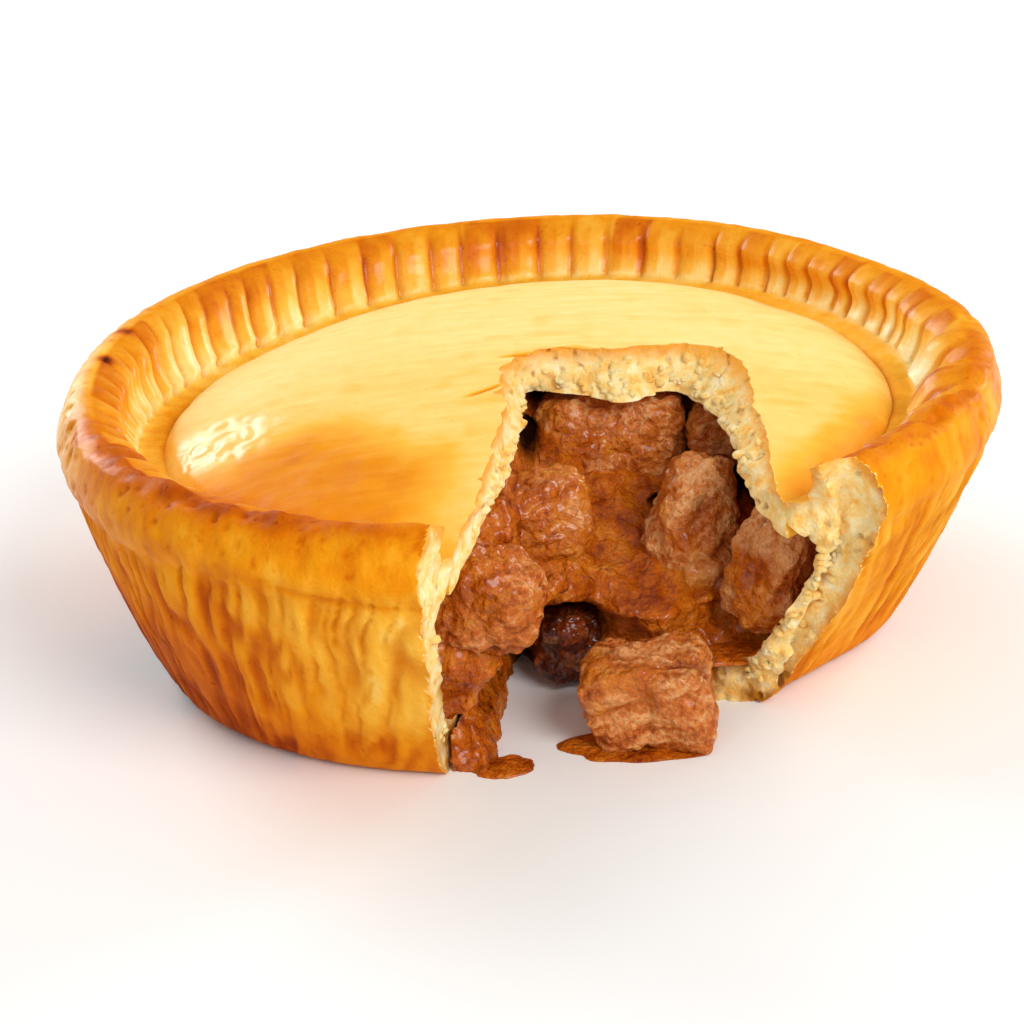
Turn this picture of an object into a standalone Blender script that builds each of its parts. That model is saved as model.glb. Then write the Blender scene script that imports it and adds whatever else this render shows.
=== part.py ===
"""A round deep-filled steak pie with a piece of its crust broken out, so that the filling shows.

All sizes are in millimetres here and are turned into metres when a mesh is made. The rim's centre is the
reference for every size. Azimuth is in degrees: 0 is the front (-Y), and it grows towards +X.
"""

import bmesh
import bpy
import numpy as np
from mathutils import Matrix

# Driving dimensions of the crust
CREST_RADIUS = 63.5
CREST_HEIGHT = 43.5
FLANGE_RADIUS = 68.0
FLANGE_HEIGHT = 36.5
WALL_TOP_HEIGHT = 32.5
FLANGE_OVERHANG = 1.2
BASE_RADIUS = 54.0
BASE_EDGE_ROUND = 1.8
WALL_BELLY = 0.8
WALL_THICKNESS = 6.3
FLOOR_THICKNESS = 6.0
GROOVE_RADIUS = 53.4
GROOVE_HEIGHT = 34.6
GROOVE_INSET = 5.2
LIP_HEIGHT = 27.6
LID_RADIUS = 52.7
LID_EDGE_HEIGHT = 34.2
LID_RISE = 7.6
LID_THICKNESS = 6.0
GAP = 0.35

# Crimped flutes on the inner face of the rim, pressed inwards and down
FLUTES = 72
FLUTE_DEPTH = 1.3
FLUTE_IN, FLUTE_DOWN = 0.66, 0.75
FLUTE_SLANT = 8.0
COLUMNS_PER_FLUTE = 3

# Relief of the baked surface: how deep, and how wide its bumps are
WRINKLE_DEPTH, WRINKLE_SIZE = 0.55, 8.0
FLANGE_ROUGHNESS, FLANGE_BUMP_SIZE = 0.6, 6.0
LID_SWELL, LID_SWELL_SIZE = 0.45, 22.0

# Points round each turned piece
WALL_COLUMNS = 74
LID_COLUMNS = 52
HOLLOW_COLUMNS = 32

# Where the rim's centre lies from the middle of the pie's outer box
CENTRE_X = -0.72
CENTRE_Y = -0.72

CRUST_COLOUR = (0.62, 0.28, 0.055)
LID_COLOUR = (0.85, 0.62, 0.24)
BEEF_COLOUR = (0.28, 0.09, 0.035)
GRAVY_COLOUR = (0.30, 0.10, 0.03)

MM = 0.001

# The torn edge of the crust in plan, from the left of the break round its back to the right. Each row is
# the same place on the tear at the top of the lid, at the lid's underside and at the floor.
TEAR = (
    ((-20, -90), (-20, -90), (-20, -90)),
    ((-13.7, -67), (-13.5, -63), (-14, -50)),
    ((-9.7, -56), (-9.8, -52), (-11.5, -42)),
    ((-6.2, -40), (-5.4, -38), (-9, -30)),
    ((-2.8, -21), (-1, -20), (-6, -19)),
    ((-1.5, -4), (1.5, -1), (-2.5, -13)),
    ((6, 0.5), (9, -4), (3, -14.5)),
    ((14, -0.5), (15, -7), (10.5, -16)),
    ((22, 1.5), (21, -2.5), (16, -23)),
    ((30.5, 0), (25.5, -7), (20, -31)),
    ((34, -12), (28.5, -15), (24, -32)),
    ((36, -27), (29.5, -30), (28, -32.5)),
    ((37, -40), (33, -42), (30.5, -34)),
    ((36.5, -51), (39, -45.5), (32.5, -34.5)),
    ((43, -50.5), (42.5, -47), (35, -35)),
    ((62, -78), (62, -78), (62, -78)),
)
# Heights of the tear's levels, and which of a row's three places each one takes
TEAR_HEIGHTS = (-5.0, 4.0, 31.0, 35.0, 41.5, 55.0)
TEAR_PLACES = (2, 2, 1, 1, 0, 0)
TEAR_POINTS = 60
TEAR_ROUGHNESS, TEAR_CRAG_SIZE = 0.9, 7.0

# Pieces of beef: name, centre, size, turn about Z, X and Y in degrees, squareness
CHUNKS = (
    ("steak_chunk_back", (12.6, 3.6, 26.6), (21.5, 15.0, 14.4), (4, -12, 6), 4.5),
    ("steak_chunk_small", (28.2, -1.5, 28.0), (8.4, 9.0, 9.4), (0, 20, 10), 2.6),
    ("steak_chunk_oval", (23.0, -18.0, 19.6), (11.4, 12.0, 22.6), (10, -8, 12), 2.4),
    ("steak_chunk_right", (33.9, -28.6, 19.0), (10.0, 11.0, 20.0), (-38, -4, 16), 3.6),
    ("steak_chunk_left", (-6.9, -40.0, 22.2), (15.5, 12.4, 13.4), (-8, 6, 12), 3.6),
    ("steak_chunk_centre", (1.0, -20.5, 24.4), (16.0, 12.0, 13.0), (12, -10, -8), 2.8),
    ("steak_chunk_low", (4.6, -23.2, 6.1), (10.0, 8.6, 11.2), (8, 0, 0), 3.2),
    ("steak_chunk_spilled", (14.8, -40.8, 6.3), (16.4, 12.6, 13.6), (-9, 4, -5), 5.5),
)
CHUNK_ROUGHNESS = 0.6

# How far forward the filling stands in the break: y of its front at each height, at six places across
FRONT_HEIGHTS = (0.0, 5.5, 13.0, 17.0, 20.5, 29.0, 37.0)
FRONT_DEPTHS = (
    (-11.5, (-47.0, -46.5, -46.0, -45.0, -44.0, -41.0, -38.0)),
    (-4.5, (-49.5, -44.0, -41.5, -40.0, -39.0, -36.0, -32.0)),
    (1.0, (-16.0, -18.0, -22.0, -25.0, -26.0, -25.0, -18.0)),
    (9.0, (-27.0, -26.0, -24.0, -18.0, -4.0, 2.0, 7.0)),
    (20.0, (-27.0, -30.5, -27.0, -18.0, -3.0, 3.0, 8.0)),
    (34.0, (-27.0, -27.0, -25.0, -22.0, -19.0, -12.0, -2.0)),
)
# Beyond these places the filling stands behind whole crust
HIDDEN_LEFT, HIDDEN_RIGHT = -16.0, 39.0
FILLING_COLUMNS = 29
FILLING_ROWS = 14
# Half the width of the block that the filling is trimmed from
BLOCK_HALF = 70.0


def lattice(cells, seed):
    """A fixed pseudo-random number in -1..1 for each whole-numbered cell."""
    c = cells.astype(np.int64)
    mixed = c[..., 0] * 73856093 ^ c[..., 1] * 19349663 ^ c[..., 2] * 83492791 ^ (seed * 2654435761)
    mixed = (mixed ^ (mixed >> 13)) * 1274126177 & 0x7FFFFFFF
    mixed = (mixed ^ (mixed >> 16)) & 0xFFFF
    return mixed / 32767.5 - 1.0


def noise(points, size, seed):
    """Smooth noise in -1..1 whose bumps are about size across: lattice values blended over each cell."""
    scaled = np.asarray(points, float) / size
    cell = np.floor(scaled)
    part = scaled - cell
    part = part * part * (3 - 2 * part)
    total = 0.0
    for corner in np.ndindex(2, 2, 2):
        weight = np.prod(np.where(corner, part, 1 - part), axis=-1)
        total = total + weight * lattice(cell + corner, seed)
    return total


def rough(points, size, seed):
    """Noise of three sizes, each half as large and half as strong as the one before."""
    return sum(noise(points, size / 2**k, seed + k) / 2**k for k in range(3)) / 1.75


def near(azimuth, centre, width):
    """1 at this azimuth, falling to 0 on both sides."""
    turn = (azimuth - centre + 180) % 360 - 180
    return np.exp(-((turn / width) ** 2))


def crest_radius(azimuth):
    uneven = 1.5 * near(azimuth, 72, 30) - 1.5 * near(azimuth, -88, 30) - 2.2 * near(azimuth, 122, 22)
    return CREST_RADIUS + uneven


def flange_radius(azimuth):
    uneven = 0.5 * near(azimuth, -35, 25) - 0.9 * near(azimuth, -92, 34)
    uneven = uneven + near(azimuth, 75, 35) - 2.4 * near(azimuth, 122, 24)
    return FLANGE_RADIUS + uneven


def base_radius(azimuth):
    """The foot of the wall: full at the sides, drawn in where the crust is broken."""
    pulled_in = 3.5 * near(azimuth, -10, 28) + 8.0 * near(azimuth, 48, 24)
    return BASE_RADIUS + 1.5 * near(azimuth, -75, 30) + 1.5 * near(azimuth, 95, 25) - pulled_in


def wall_radius(azimuth, height):
    """The outside of the wall between the foot and the underside of the flange."""
    part = height / WALL_TOP_HEIGHT
    straight = base_radius(azimuth) * (1 - part) + (flange_radius(azimuth) - FLANGE_OVERHANG) * part
    return straight + WALL_BELLY * np.sin(np.pi * part)


def circle(azimuth, radius, height):
    """Points at this radius and height for each azimuth."""
    angle = np.radians(azimuth)
    flat = np.broadcast_to(height, azimuth.shape)
    return np.stack([radius * np.sin(angle), -radius * np.cos(angle), flat], axis=-1)


def groove_inset(azimuth):
    """How far the groove lies inwards: the rim's slope is wider at the back left."""
    return GROOVE_INSET * near(azimuth, -130, 40)


def lid_top(azimuth, radius):
    """The domed top of the lid, steep near the groove and flat over the middle."""
    inside = np.clip(1 - (radius / (LID_RADIUS - groove_inset(azimuth))) ** 2, 0, 1)
    return LID_EDGE_HEIGHT + LID_RISE * inside**0.6


def flute_phase(azimuth):
    """Counts flutes round the rim; they are narrow at the back and wide at the left."""
    return FLUTES * azimuth / 360 - 1.9 * np.sin(np.radians(azimuth + 8)) * np.cos(np.radians(azimuth))


def mesh_object(name, points, faces, colour, roughness):
    """An object of these points, in millimetres round the rim's centre, with faces turned outwards."""
    mesh = bpy.data.meshes.new(name)
    moved = (np.asarray(points, float) + (CENTRE_X, CENTRE_Y, 0)) * MM
    mesh.from_pydata(moved.tolist(), [], faces)
    work = bmesh.new()
    work.from_mesh(mesh)
    bmesh.ops.recalc_face_normals(work, faces=work.faces)
    work.to_mesh(mesh)
    work.free()
    mesh.shade_smooth()
    mesh.set_sharp_from_angle(angle=np.radians(40))
    obj = bpy.data.objects.new(name, mesh)
    bpy.context.scene.collection.objects.link(obj)
    material = bpy.data.materials.new(name)
    material.use_nodes = True
    shader = material.node_tree.nodes["Principled BSDF"]
    shader.inputs["Base Color"].default_value = (*colour, 1)
    shader.inputs["Roughness"].default_value = roughness
    shader.inputs["Metallic"].default_value = 0
    mesh.materials.append(material)
    return obj


def band_faces(rings, columns, closed_rings=False):
    """Quads between neighbouring rings of points, each ring closed on itself."""
    faces = []
    for ring in range(rings if closed_rings else rings - 1):
        above = (ring + 1) % rings
        for column in range(columns):
            beside = (column + 1) % columns
            faces.append((ring * columns + column, ring * columns + beside,
                          above * columns + beside, above * columns + column))
    return faces


def turned_solid(name, rings, columns, colour, roughness, ring_shaped=False):
    """A solid from rings of points, capped at both ends or closed into a ring."""
    faces = band_faces(len(rings), columns, ring_shaped)
    if not ring_shaped:
        last = (len(rings) - 1) * columns
        faces.append(tuple(range(columns))[::-1])
        faces.append(tuple(range(last, last + columns)))
    return mesh_object(name, np.concatenate(rings), faces, colour, roughness)


def apply_boolean(obj, operation, other):
    """Applies one Boolean and removes the other object."""
    modifier = obj.modifiers.new(operation.title(), "BOOLEAN")
    modifier.operation = operation
    modifier.solver = "EXACT"
    modifier.object = other
    bpy.context.view_layer.update()
    graph = bpy.context.evaluated_depsgraph_get()
    result = bpy.data.meshes.new_from_object(obj.evaluated_get(graph))
    obj.modifiers.remove(modifier)
    old = obj.data
    obj.data = result
    result.name = obj.name
    bpy.data.meshes.remove(old)
    bpy.data.objects.remove(other)


def keep_largest(obj):
    """Drops the loose scraps that a cut leaves."""
    work = bmesh.new()
    work.from_mesh(obj.data)
    left = set(work.verts)
    bodies = []
    while left:
        edge = [left.pop()]
        body = set(edge)
        while edge:
            for link in edge.pop().link_edges:
                for vertex in link.verts:
                    if vertex not in body:
                        body.add(vertex)
                        left.discard(vertex)
                        edge.append(vertex)
        bodies.append(body)
    bodies.sort(key=len, reverse=True)
    loose = [vertex for body in bodies[1:] for vertex in body]
    bmesh.ops.delete(work, geom=loose, context="VERTS")
    work.to_mesh(obj.data)
    work.free()


def smooth_path(keys, count):
    """Points spread evenly along a Catmull-Rom curve through the keys."""
    keys = np.asarray(keys, float)
    padded = np.vstack([2 * keys[0] - keys[1], keys, 2 * keys[-1] - keys[-2]])
    steps = np.linspace(0, len(keys) - 1 - 1e-9, count)
    start = steps.astype(int)
    part = (steps - start)[:, None]
    a, b, c, d = (padded[start + k] for k in range(4))
    bend = (2 * a - 5 * b + 4 * c - d) * part**2 + (3 * b - a - 3 * c + d) * part**3
    return 0.5 * (2 * b + (c - a) * part + bend)


def tear_outline(level, height, grow):
    """The tear's plan at one height, ragged, and moved by grow to the crust's side."""
    path = smooth_path([row[level] for row in TEAR], TEAR_POINTS)
    along = np.gradient(path, axis=0)
    along /= np.linalg.norm(along, axis=1)[:, None]
    outward = np.stack([-along[:, 1], along[:, 0]], axis=1)
    raised = np.column_stack([path, np.full(TEAR_POINTS, height * 1.7)])
    ragged = TEAR_ROUGHNESS * rough(raised, TEAR_CRAG_SIZE, 11)
    moved = path + outward * (ragged + grow)[:, None]
    return np.column_stack([moved, np.full(TEAR_POINTS, height)])


def break_cutter(name, lowest=TEAR_HEIGHTS[0], highest=TEAR_HEIGHTS[-1], grow=0.0):
    """The missing piece of crust as a solid, from its lowest to its highest level."""
    halfway = [(low + high) / 2 for low, high in zip(TEAR_HEIGHTS, TEAR_HEIGHTS[1:])]
    levels = sorted({*TEAR_HEIGHTS, *halfway, lowest, highest})
    rings = []
    for height in levels:
        if lowest <= height <= highest:
            step = np.interp(height, TEAR_HEIGHTS, range(len(TEAR_HEIGHTS)))
            below = tear_outline(TEAR_PLACES[int(np.floor(step))], height, grow)
            above = tear_outline(TEAR_PLACES[int(np.ceil(step))], height, grow)
            rings.append(below + (above - below) * (step % 1))
    return turned_solid(name, rings, TEAR_POINTS, CRUST_COLOUR, 0.9)


def tub(name):
    """The pastry shell's floor and wall, wrinkled outside."""
    azimuth = np.linspace(-180, 180, WALL_COLUMNS, endpoint=False)
    rings = [circle(azimuth, base_radius(azimuth) - BASE_EDGE_ROUND, 0.0)]
    for height in (BASE_EDGE_ROUND, 11.0, 22.0, WALL_TOP_HEIGHT, FLANGE_HEIGHT):
        ring = circle(azimuth, wall_radius(azimuth, min(height, WALL_TOP_HEIGHT)), height)
        stretched = np.column_stack([ring[:, :2], ring[:, 2] * 0.25])
        strength = WRINKLE_DEPTH * np.clip(height / 9.0, 0.3, 1.0)
        outward = circle(azimuth, 1.0, 0.0)
        rings.append(ring + outward * (strength * rough(stretched, WRINKLE_SIZE, 21))[:, None])
    for height in (FLANGE_HEIGHT, LIP_HEIGHT, 17.0, FLOOR_THICKNESS + 2.0):
        radius = wall_radius(azimuth, min(height, WALL_TOP_HEIGHT)) - WALL_THICKNESS
        rings.append(circle(azimuth, radius, height))
    edge = wall_radius(azimuth, FLOOR_THICKNESS) - WALL_THICKNESS - 2.0
    rings.append(circle(azimuth, edge, FLOOR_THICKNESS))
    return turned_solid(name, rings, WALL_COLUMNS, CRUST_COLOUR, 0.5)


def rim_ring(name):
    """The thick crimped rim: a rough flange outside, a crest, and flutes down to the groove."""
    columns = FLUTES * COLUMNS_PER_FLUTE
    target = np.arange(columns) / COLUMNS_PER_FLUTE - FLUTES / 2
    fine = np.linspace(-190, 190, 7601)
    azimuth = np.interp(target, flute_phase(fine), fine)
    crest, flange = crest_radius(azimuth), flange_radius(azimuth)
    crease = (np.arange(columns) % COLUMNS_PER_FLUTE == 0).astype(float)
    inset = groove_inset(azimuth)
    groove = GROOVE_RADIUS - inset
    slant = FLUTE_SLANT * near(azimuth, -112, 38)
    # Each row: radius, height, how deep the flutes are cut there, and how much of their slant it has
    profile = (
        (flange - 1.8, WALL_TOP_HEIGHT, 0.0, 0.0),
        (flange, FLANGE_HEIGHT, 0.1, 0.0),
        (crest + 2.4, CREST_HEIGHT - 2.0, 0.2, 0.0),
        (crest - 0.6, CREST_HEIGHT, 0.5, 0.0),
        (59.0 - inset * 0.5, CREST_HEIGHT - 4.6, 1.0, 0.6),
        (groove + 3.0, GROOVE_HEIGHT + 0.5 - inset * 0.2, 0.6, 1.0),
        (groove, GROOVE_HEIGHT - 0.4 - inset * 0.2, 0.0, 1.0),
        (wall_radius(azimuth, LIP_HEIGHT) - WALL_THICKNESS + 1.0, LIP_HEIGHT, 0.0, 0.0),
    )
    rings = []
    for place, (radius, height, share, slanted) in enumerate(profile):
        turned_by = azimuth + slant * slanted
        pressed = circle(turned_by, FLUTE_IN, -FLUTE_DOWN)
        ring = circle(turned_by, radius, height) + pressed * (FLUTE_DEPTH * share * crease)[:, None]
        if place < 3:
            bumps = FLANGE_ROUGHNESS * rough(ring, FLANGE_BUMP_SIZE, 31)
            ring = ring + circle(azimuth, 1.0, 0.0) * bumps[:, None]
        rings.append(ring)
    return turned_solid(name, rings, columns, CRUST_COLOUR, 0.35, ring_shaped=True)


def lid_disc(name):
    """The domed top crust inside the rim."""
    azimuth = np.linspace(-180, 180, LID_COLUMNS, endpoint=False)
    edge = LID_RADIUS - groove_inset(azimuth)
    under = (0.1, 0.5, 0.82, 1.0)
    over = (1.0, 0.975, 0.917, 0.794, 0.643, 0.454, 0.246, 0.095)
    rings = []
    for share in under:
        height = np.maximum(lid_top(azimuth, edge * share) - LID_THICKNESS, LIP_HEIGHT + 1.4)
        rings.append(circle(azimuth, edge * share, height))
    for share in over:
        drop = (0.6 + groove_inset(azimuth) * 0.2) * (share == 1.0)
        ring = circle(azimuth, edge * share, lid_top(azimuth, edge * share) - drop)
        ring[:, 2] += LID_SWELL * noise(ring, LID_SWELL_SIZE, 41) * min(1.0, (1.0 - share) * 8.8)
        rings.append(ring)
    return turned_solid(name, rings, LID_COLUMNS, LID_COLOUR, 0.45)


def turned(angles):
    """The turn of a chunk: about Z, then X, then Y, in degrees."""
    about_z, about_x, about_y = np.radians(angles)
    return np.array(Matrix.Rotation(about_z, 3, "Z") @ Matrix.Rotation(about_x, 3, "X")
                    @ Matrix.Rotation(about_y, 3, "Y"))


def chunk_points(sphere, place, centre, size, angles, squareness, grow=0.0):
    """A block with rounded corners and a rough torn surface, on the directions of a unit sphere."""
    block = (np.abs(sphere) ** squareness).sum(axis=1) ** (-1 / squareness)
    half = np.array(size) / 2
    body = sphere * block[:, None] * half
    lumps = 0.075 * min(size) * noise(sphere * half, 6.5, 60 + place)
    lumps = lumps + CHUNK_ROUGHNESS * noise(sphere * half, 3.0, 80 + place)
    outward = sphere / half
    outward = outward / np.linalg.norm(outward, axis=1)[:, None]
    body = body + outward * (lumps + grow)[:, None]
    world = body @ turned(angles).T + centre
    world[:, 2] = np.maximum(world[:, 2], -grow)
    return world


def chunk(name, place, centre, size, angles, squareness, grow=0.0):
    """One piece of beef as a solid."""
    work = bmesh.new()
    bmesh.ops.create_icosphere(work, subdivisions=3, radius=1.0)
    sphere = np.array([vertex.co for vertex in work.verts])
    faces = [tuple(vertex.index for vertex in face.verts) for face in work.faces]
    work.free()
    sphere = sphere / np.linalg.norm(sphere, axis=1)[:, None]
    points = chunk_points(sphere, place, centre, size, angles, squareness, grow)
    return mesh_object(name, points, faces, BEEF_COLOUR, 0.45)


def ramp(value, low, high):
    """0 below low, 1 above high, smooth between."""
    part = np.clip((value - low) / (high - low), 0, 1)
    return part * part * (3 - 2 * part)


def filling_front(x, z):
    """y of the filling's uneven front for each x and z; behind the standing crust it reaches the wall."""
    places = np.array([place for place, _ in FRONT_DEPTHS])
    depths = np.stack([np.interp(z, FRONT_HEIGHTS, column) for _, column in FRONT_DEPTHS])
    front = depths[0] * np.ones_like(x)
    for low, high, depth in zip(places, places[1:], depths[1:]):
        front = front + (depth - front) * ramp(x, low, high)
    lumps = np.stack([x, 0 * x, z], axis=-1)
    front = front + 1.5 * noise(lumps, 7.0, 51) + 0.7 * noise(lumps, 3.5, 52)
    hidden = np.maximum(ramp(-x, -HIDDEN_LEFT, -HIDDEN_LEFT + 4), ramp(x, HIDDEN_RIGHT, HIDDEN_RIGHT + 4))
    return front * (1 - hidden) - BLOCK_HALF * hidden


def filling_block(name):
    """Everything behind the uneven front, as a block that the pastry's hollow then trims."""
    seen = np.linspace(HIDDEN_LEFT - 5, HIDDEN_RIGHT + 5, FILLING_COLUMNS - 2)
    across = np.concatenate([[-BLOCK_HALF], seen, [BLOCK_HALF]])
    up = np.linspace(-3.0, 44.0, FILLING_ROWS)
    x, z = np.meshgrid(across, up)
    front = np.stack([x, filling_front(x, z), z], axis=-1).reshape(-1, 3)
    back = front.copy()
    back[:, 1] = BLOCK_HALF
    columns, count = FILLING_COLUMNS, FILLING_COLUMNS * FILLING_ROWS
    rim = list(range(columns))
    rim += [row * columns + columns - 1 for row in range(1, FILLING_ROWS)]
    rim += [count - 1 - k for k in range(1, columns)]
    rim += [row * columns for row in range(FILLING_ROWS - 2, 0, -1)]
    faces = []
    for row in range(FILLING_ROWS - 1):
        for column in range(columns - 1):
            first = row * columns + column
            faces.append((first, first + 1, first + columns + 1, first + columns))
    border = len(rim)
    points = np.concatenate([front, back[rim]])
    for step in range(border):
        other = (step + 1) % border
        faces.append((rim[other], rim[step], count + step, count + other))
    faces.append(tuple(count + step for step in range(border)))
    return mesh_object(name, points, faces, GRAVY_COLOUR, 0.3)


def pastry_hollow(name):
    """The room inside the crust, a gap clear of the floor, the wall and the lid."""
    azimuth = np.linspace(-180, 180, HOLLOW_COLUMNS, endpoint=False)
    slack = WALL_THICKNESS + GAP
    rings = [circle(azimuth, wall_radius(azimuth, FLOOR_THICKNESS) - slack - 2.4, FLOOR_THICKNESS + GAP)]
    for height in (FLOOR_THICKNESS + 2.4, 17.0, LIP_HEIGHT - 0.6):
        rings.append(circle(azimuth, wall_radius(azimuth, height) - slack - 0.4, height))
    edge = LID_RADIUS - groove_inset(azimuth)
    for share in (1.0, 0.82, 0.64, 0.45, 0.26, 0.08):
        height = np.maximum(lid_top(azimuth, edge * share) - LID_THICKNESS, LIP_HEIGHT + 1.4) - GAP - 0.25
        rings.append(circle(azimuth, edge * share, height))
    return turned_solid(name, rings, HOLLOW_COLUMNS, GRAVY_COLOUR, 0.5)


def clear_scene():
    for obj in list(bpy.data.objects):
        bpy.data.objects.remove(obj, do_unlink=True)


def build():
    clear_scene()
    case = tub("pastry_case")
    apply_boolean(case, "UNION", rim_ring("rim"))
    apply_boolean(case, "DIFFERENCE", break_cutter("missing_crust"))
    keep_largest(case)

    lid = lid_disc("pastry_lid")
    apply_boolean(lid, "DIFFERENCE", break_cutter("missing_lid", lowest=20.0))
    keep_largest(lid)

    filling = filling_block("steak_filling")
    hollow = pastry_hollow("hollow")
    in_the_gap = break_cutter("floor_gap", lowest=0.0, highest=FLOOR_THICKNESS + 2.0, grow=-0.6)
    apply_boolean(hollow, "UNION", in_the_gap)
    apply_boolean(filling, "INTERSECT", hollow)
    for place, (name, *shape) in enumerate(CHUNKS):
        chunk(name, place, *shape)
        apply_boolean(filling, "DIFFERENCE", chunk(name + "_room", place, *shape, grow=GAP))
    keep_largest(filling)


build()
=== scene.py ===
"""The looks of a round deep steak pie with a wedge torn out of its crust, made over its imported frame.

Sizes are in millimetres round the middle of the crimped rim, and every mesh is turned into the frame's
metres as it is made. Azimuth is in degrees: 0 is the front (-Y), and it grows towards +X.
"""

import bmesh
import bpy
import numpy as np
from mathutils import Matrix, Vector


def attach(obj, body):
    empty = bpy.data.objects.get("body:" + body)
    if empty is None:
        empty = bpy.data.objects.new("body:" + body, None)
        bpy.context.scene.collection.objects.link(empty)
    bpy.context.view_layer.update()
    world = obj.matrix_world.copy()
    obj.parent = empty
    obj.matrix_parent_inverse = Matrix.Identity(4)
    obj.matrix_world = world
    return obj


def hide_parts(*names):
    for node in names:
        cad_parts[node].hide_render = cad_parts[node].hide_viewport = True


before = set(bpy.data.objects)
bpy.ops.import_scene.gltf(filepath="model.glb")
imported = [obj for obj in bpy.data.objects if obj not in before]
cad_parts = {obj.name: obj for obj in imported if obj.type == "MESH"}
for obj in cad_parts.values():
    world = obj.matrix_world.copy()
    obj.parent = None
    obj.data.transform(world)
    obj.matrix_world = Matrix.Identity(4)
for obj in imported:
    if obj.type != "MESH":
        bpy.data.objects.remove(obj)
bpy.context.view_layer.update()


# The pastry case: short, thick dough pressed into a tapered tin, its edge folded over into a thick rim and
# crimped all round with a fingertip, then glazed with egg and baked. A wedge is torn out at the front.
MM = 0.001
CENTRE = np.array([-0.72, -0.72, 0.0])
BASE_RADIUS = 54.0
FLANGE_RADIUS = 68.0
CREST_RADIUS, CREST_HEIGHT = 63.5, 43.5
WALL_TOP_HEIGHT, FLANGE_OVERHANG, WALL_BELLY = 32.5, 1.2, 0.8
WALL_THICKNESS, FLOOR_THICKNESS = 6.3, 6.0
GROOVE_RADIUS, GROOVE_HEIGHT, GROOVE_INSET, LIP_HEIGHT = 53.4, 34.2, 5.2, 27.6
FLUTES, COLUMNS_PER_FLUTE = 72, 11
FLUTE_DEPTH, FLUTE_SLANT, CREASE_WIDTH = 1.3, 8.0, 0.08
SECTION_STEP, CORNER_ROUND = 0.2, 0.8
WRINKLE_LEAN = 52.0
CRATER_SIZE, CRATER_DEPTH = 2.4, 0.34
SEAM_WIDTH, SEAM_DEPTH = 0.6, 0.35
FOLD_AT, FOLD_SPACING, FOLD_DEPTH = 72.0, 13.0, 1.8
FLANGE_RELIEF_LIMIT, FLANGE_BAKE_LIMIT = 0.05, 0.62
KNOT = (56.0, -4.2, 35.4)
BURNT_SPOTS, BURNT_WIDTH = ((-60.9, 6.2, 42.5), (-59.4, 17.9, 42.5)), 1.3


def lattice(cells, seed):
    """A fixed pseudo-random number in -1..1 for each whole-numbered cell."""
    c = cells.astype(np.int64)
    mixed = c[..., 0] * 73856093 ^ c[..., 1] * 19349663 ^ c[..., 2] * 83492791 ^ (seed * 2654435761)
    mixed = (mixed ^ (mixed >> 13)) * 1274126177 & 0x7FFFFFFF
    mixed = (mixed ^ (mixed >> 16)) & 0xFFFF
    return mixed / 32767.5 - 1.0


def noise(points, size, seed):
    """Smooth noise in -1..1 whose bumps are about size across: lattice values blended over each cell."""
    scaled = np.asarray(points, float) / size
    cell = np.floor(scaled)
    part = scaled - cell
    part = part * part * (3 - 2 * part)
    total = 0.0
    for corner in np.ndindex(2, 2, 2):
        weight = np.prod(np.where(corner, part, 1 - part), axis=-1)
        total = total + weight * lattice(cell + corner, seed)
    return total


def rough(points, size, seed):
    """Noise of three sizes, each half as large and half as strong as the one before."""
    return sum(noise(points, size / 2**k, seed + k) / 2**k for k in range(3)) / 1.75


def specks(points, size, seed):
    """Distance, in cells of this size, from each point to the nearest of one scattered point in each cell."""
    scaled = points / size
    cell = np.floor(scaled)
    nearest = np.full(scaled.shape[:-1], 9.0)
    for step in np.ndindex(3, 3, 3):
        corner = cell + step - 1
        jitter = np.stack([lattice(corner, seed + k) for k in range(3)], axis=-1)
        nearest = np.minimum(nearest, np.linalg.norm(corner + 0.5 + 0.45 * jitter - scaled, axis=-1))
    return nearest


def ramp(value, low, high):
    """0 below low, 1 above high, smooth between."""
    part = np.clip((value - low) / (high - low), 0, 1)
    return part * part * (3 - 2 * part)


def bell(value, width):
    """1 where the value is 0, falling to 0 on both sides as a bell curve of this width."""
    return np.exp(-((value / width) ** 2))


def near(azimuth, centre, width):
    """1 at this azimuth, falling to 0 on both sides as a bell curve of this width."""
    turn = (azimuth - centre + 180) % 360 - 180
    return bell(turn, width)


def cracks(points, size, width, seed):
    """Thin lines that wander where noise of this size passes 0, 1 in the middle of a line and 0 beside it."""
    return bell(noise(points, size, seed), width)


def each(number, seed):
    """A fixed pseudo-random number in -1..1 for each whole number."""
    return lattice(np.stack([number, 0 * number, 0 * number], axis=-1), seed)


def unit(vectors):
    """The same directions with a length of 1."""
    return vectors / np.linalg.norm(vectors, axis=-1, keepdims=True)


def crest_radius(azimuth):
    """The crest's distance from the middle: fuller at the right, drawn in at the left and the back right."""
    uneven = 1.5 * near(azimuth, 72, 30) - 1.5 * near(azimuth, -88, 30) - 2.2 * near(azimuth, 122, 22)
    return CREST_RADIUS + uneven


def flange_radius(azimuth):
    """The rim's outer edge, which follows the crest's unevenness more softly."""
    uneven = 0.5 * near(azimuth, -35, 25) - 0.9 * near(azimuth, -92, 34)
    uneven = uneven + near(azimuth, 75, 35) - 2.4 * near(azimuth, 122, 24)
    return FLANGE_RADIUS + uneven


def base_radius(azimuth):
    """The foot of the wall: full at the sides, drawn in where the crust is broken."""
    pulled_in = 3.5 * near(azimuth, -10, 28) + 8.0 * near(azimuth, 48, 24)
    return BASE_RADIUS + 1.5 * near(azimuth, -75, 30) + 1.5 * near(azimuth, 95, 25) - pulled_in


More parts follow.
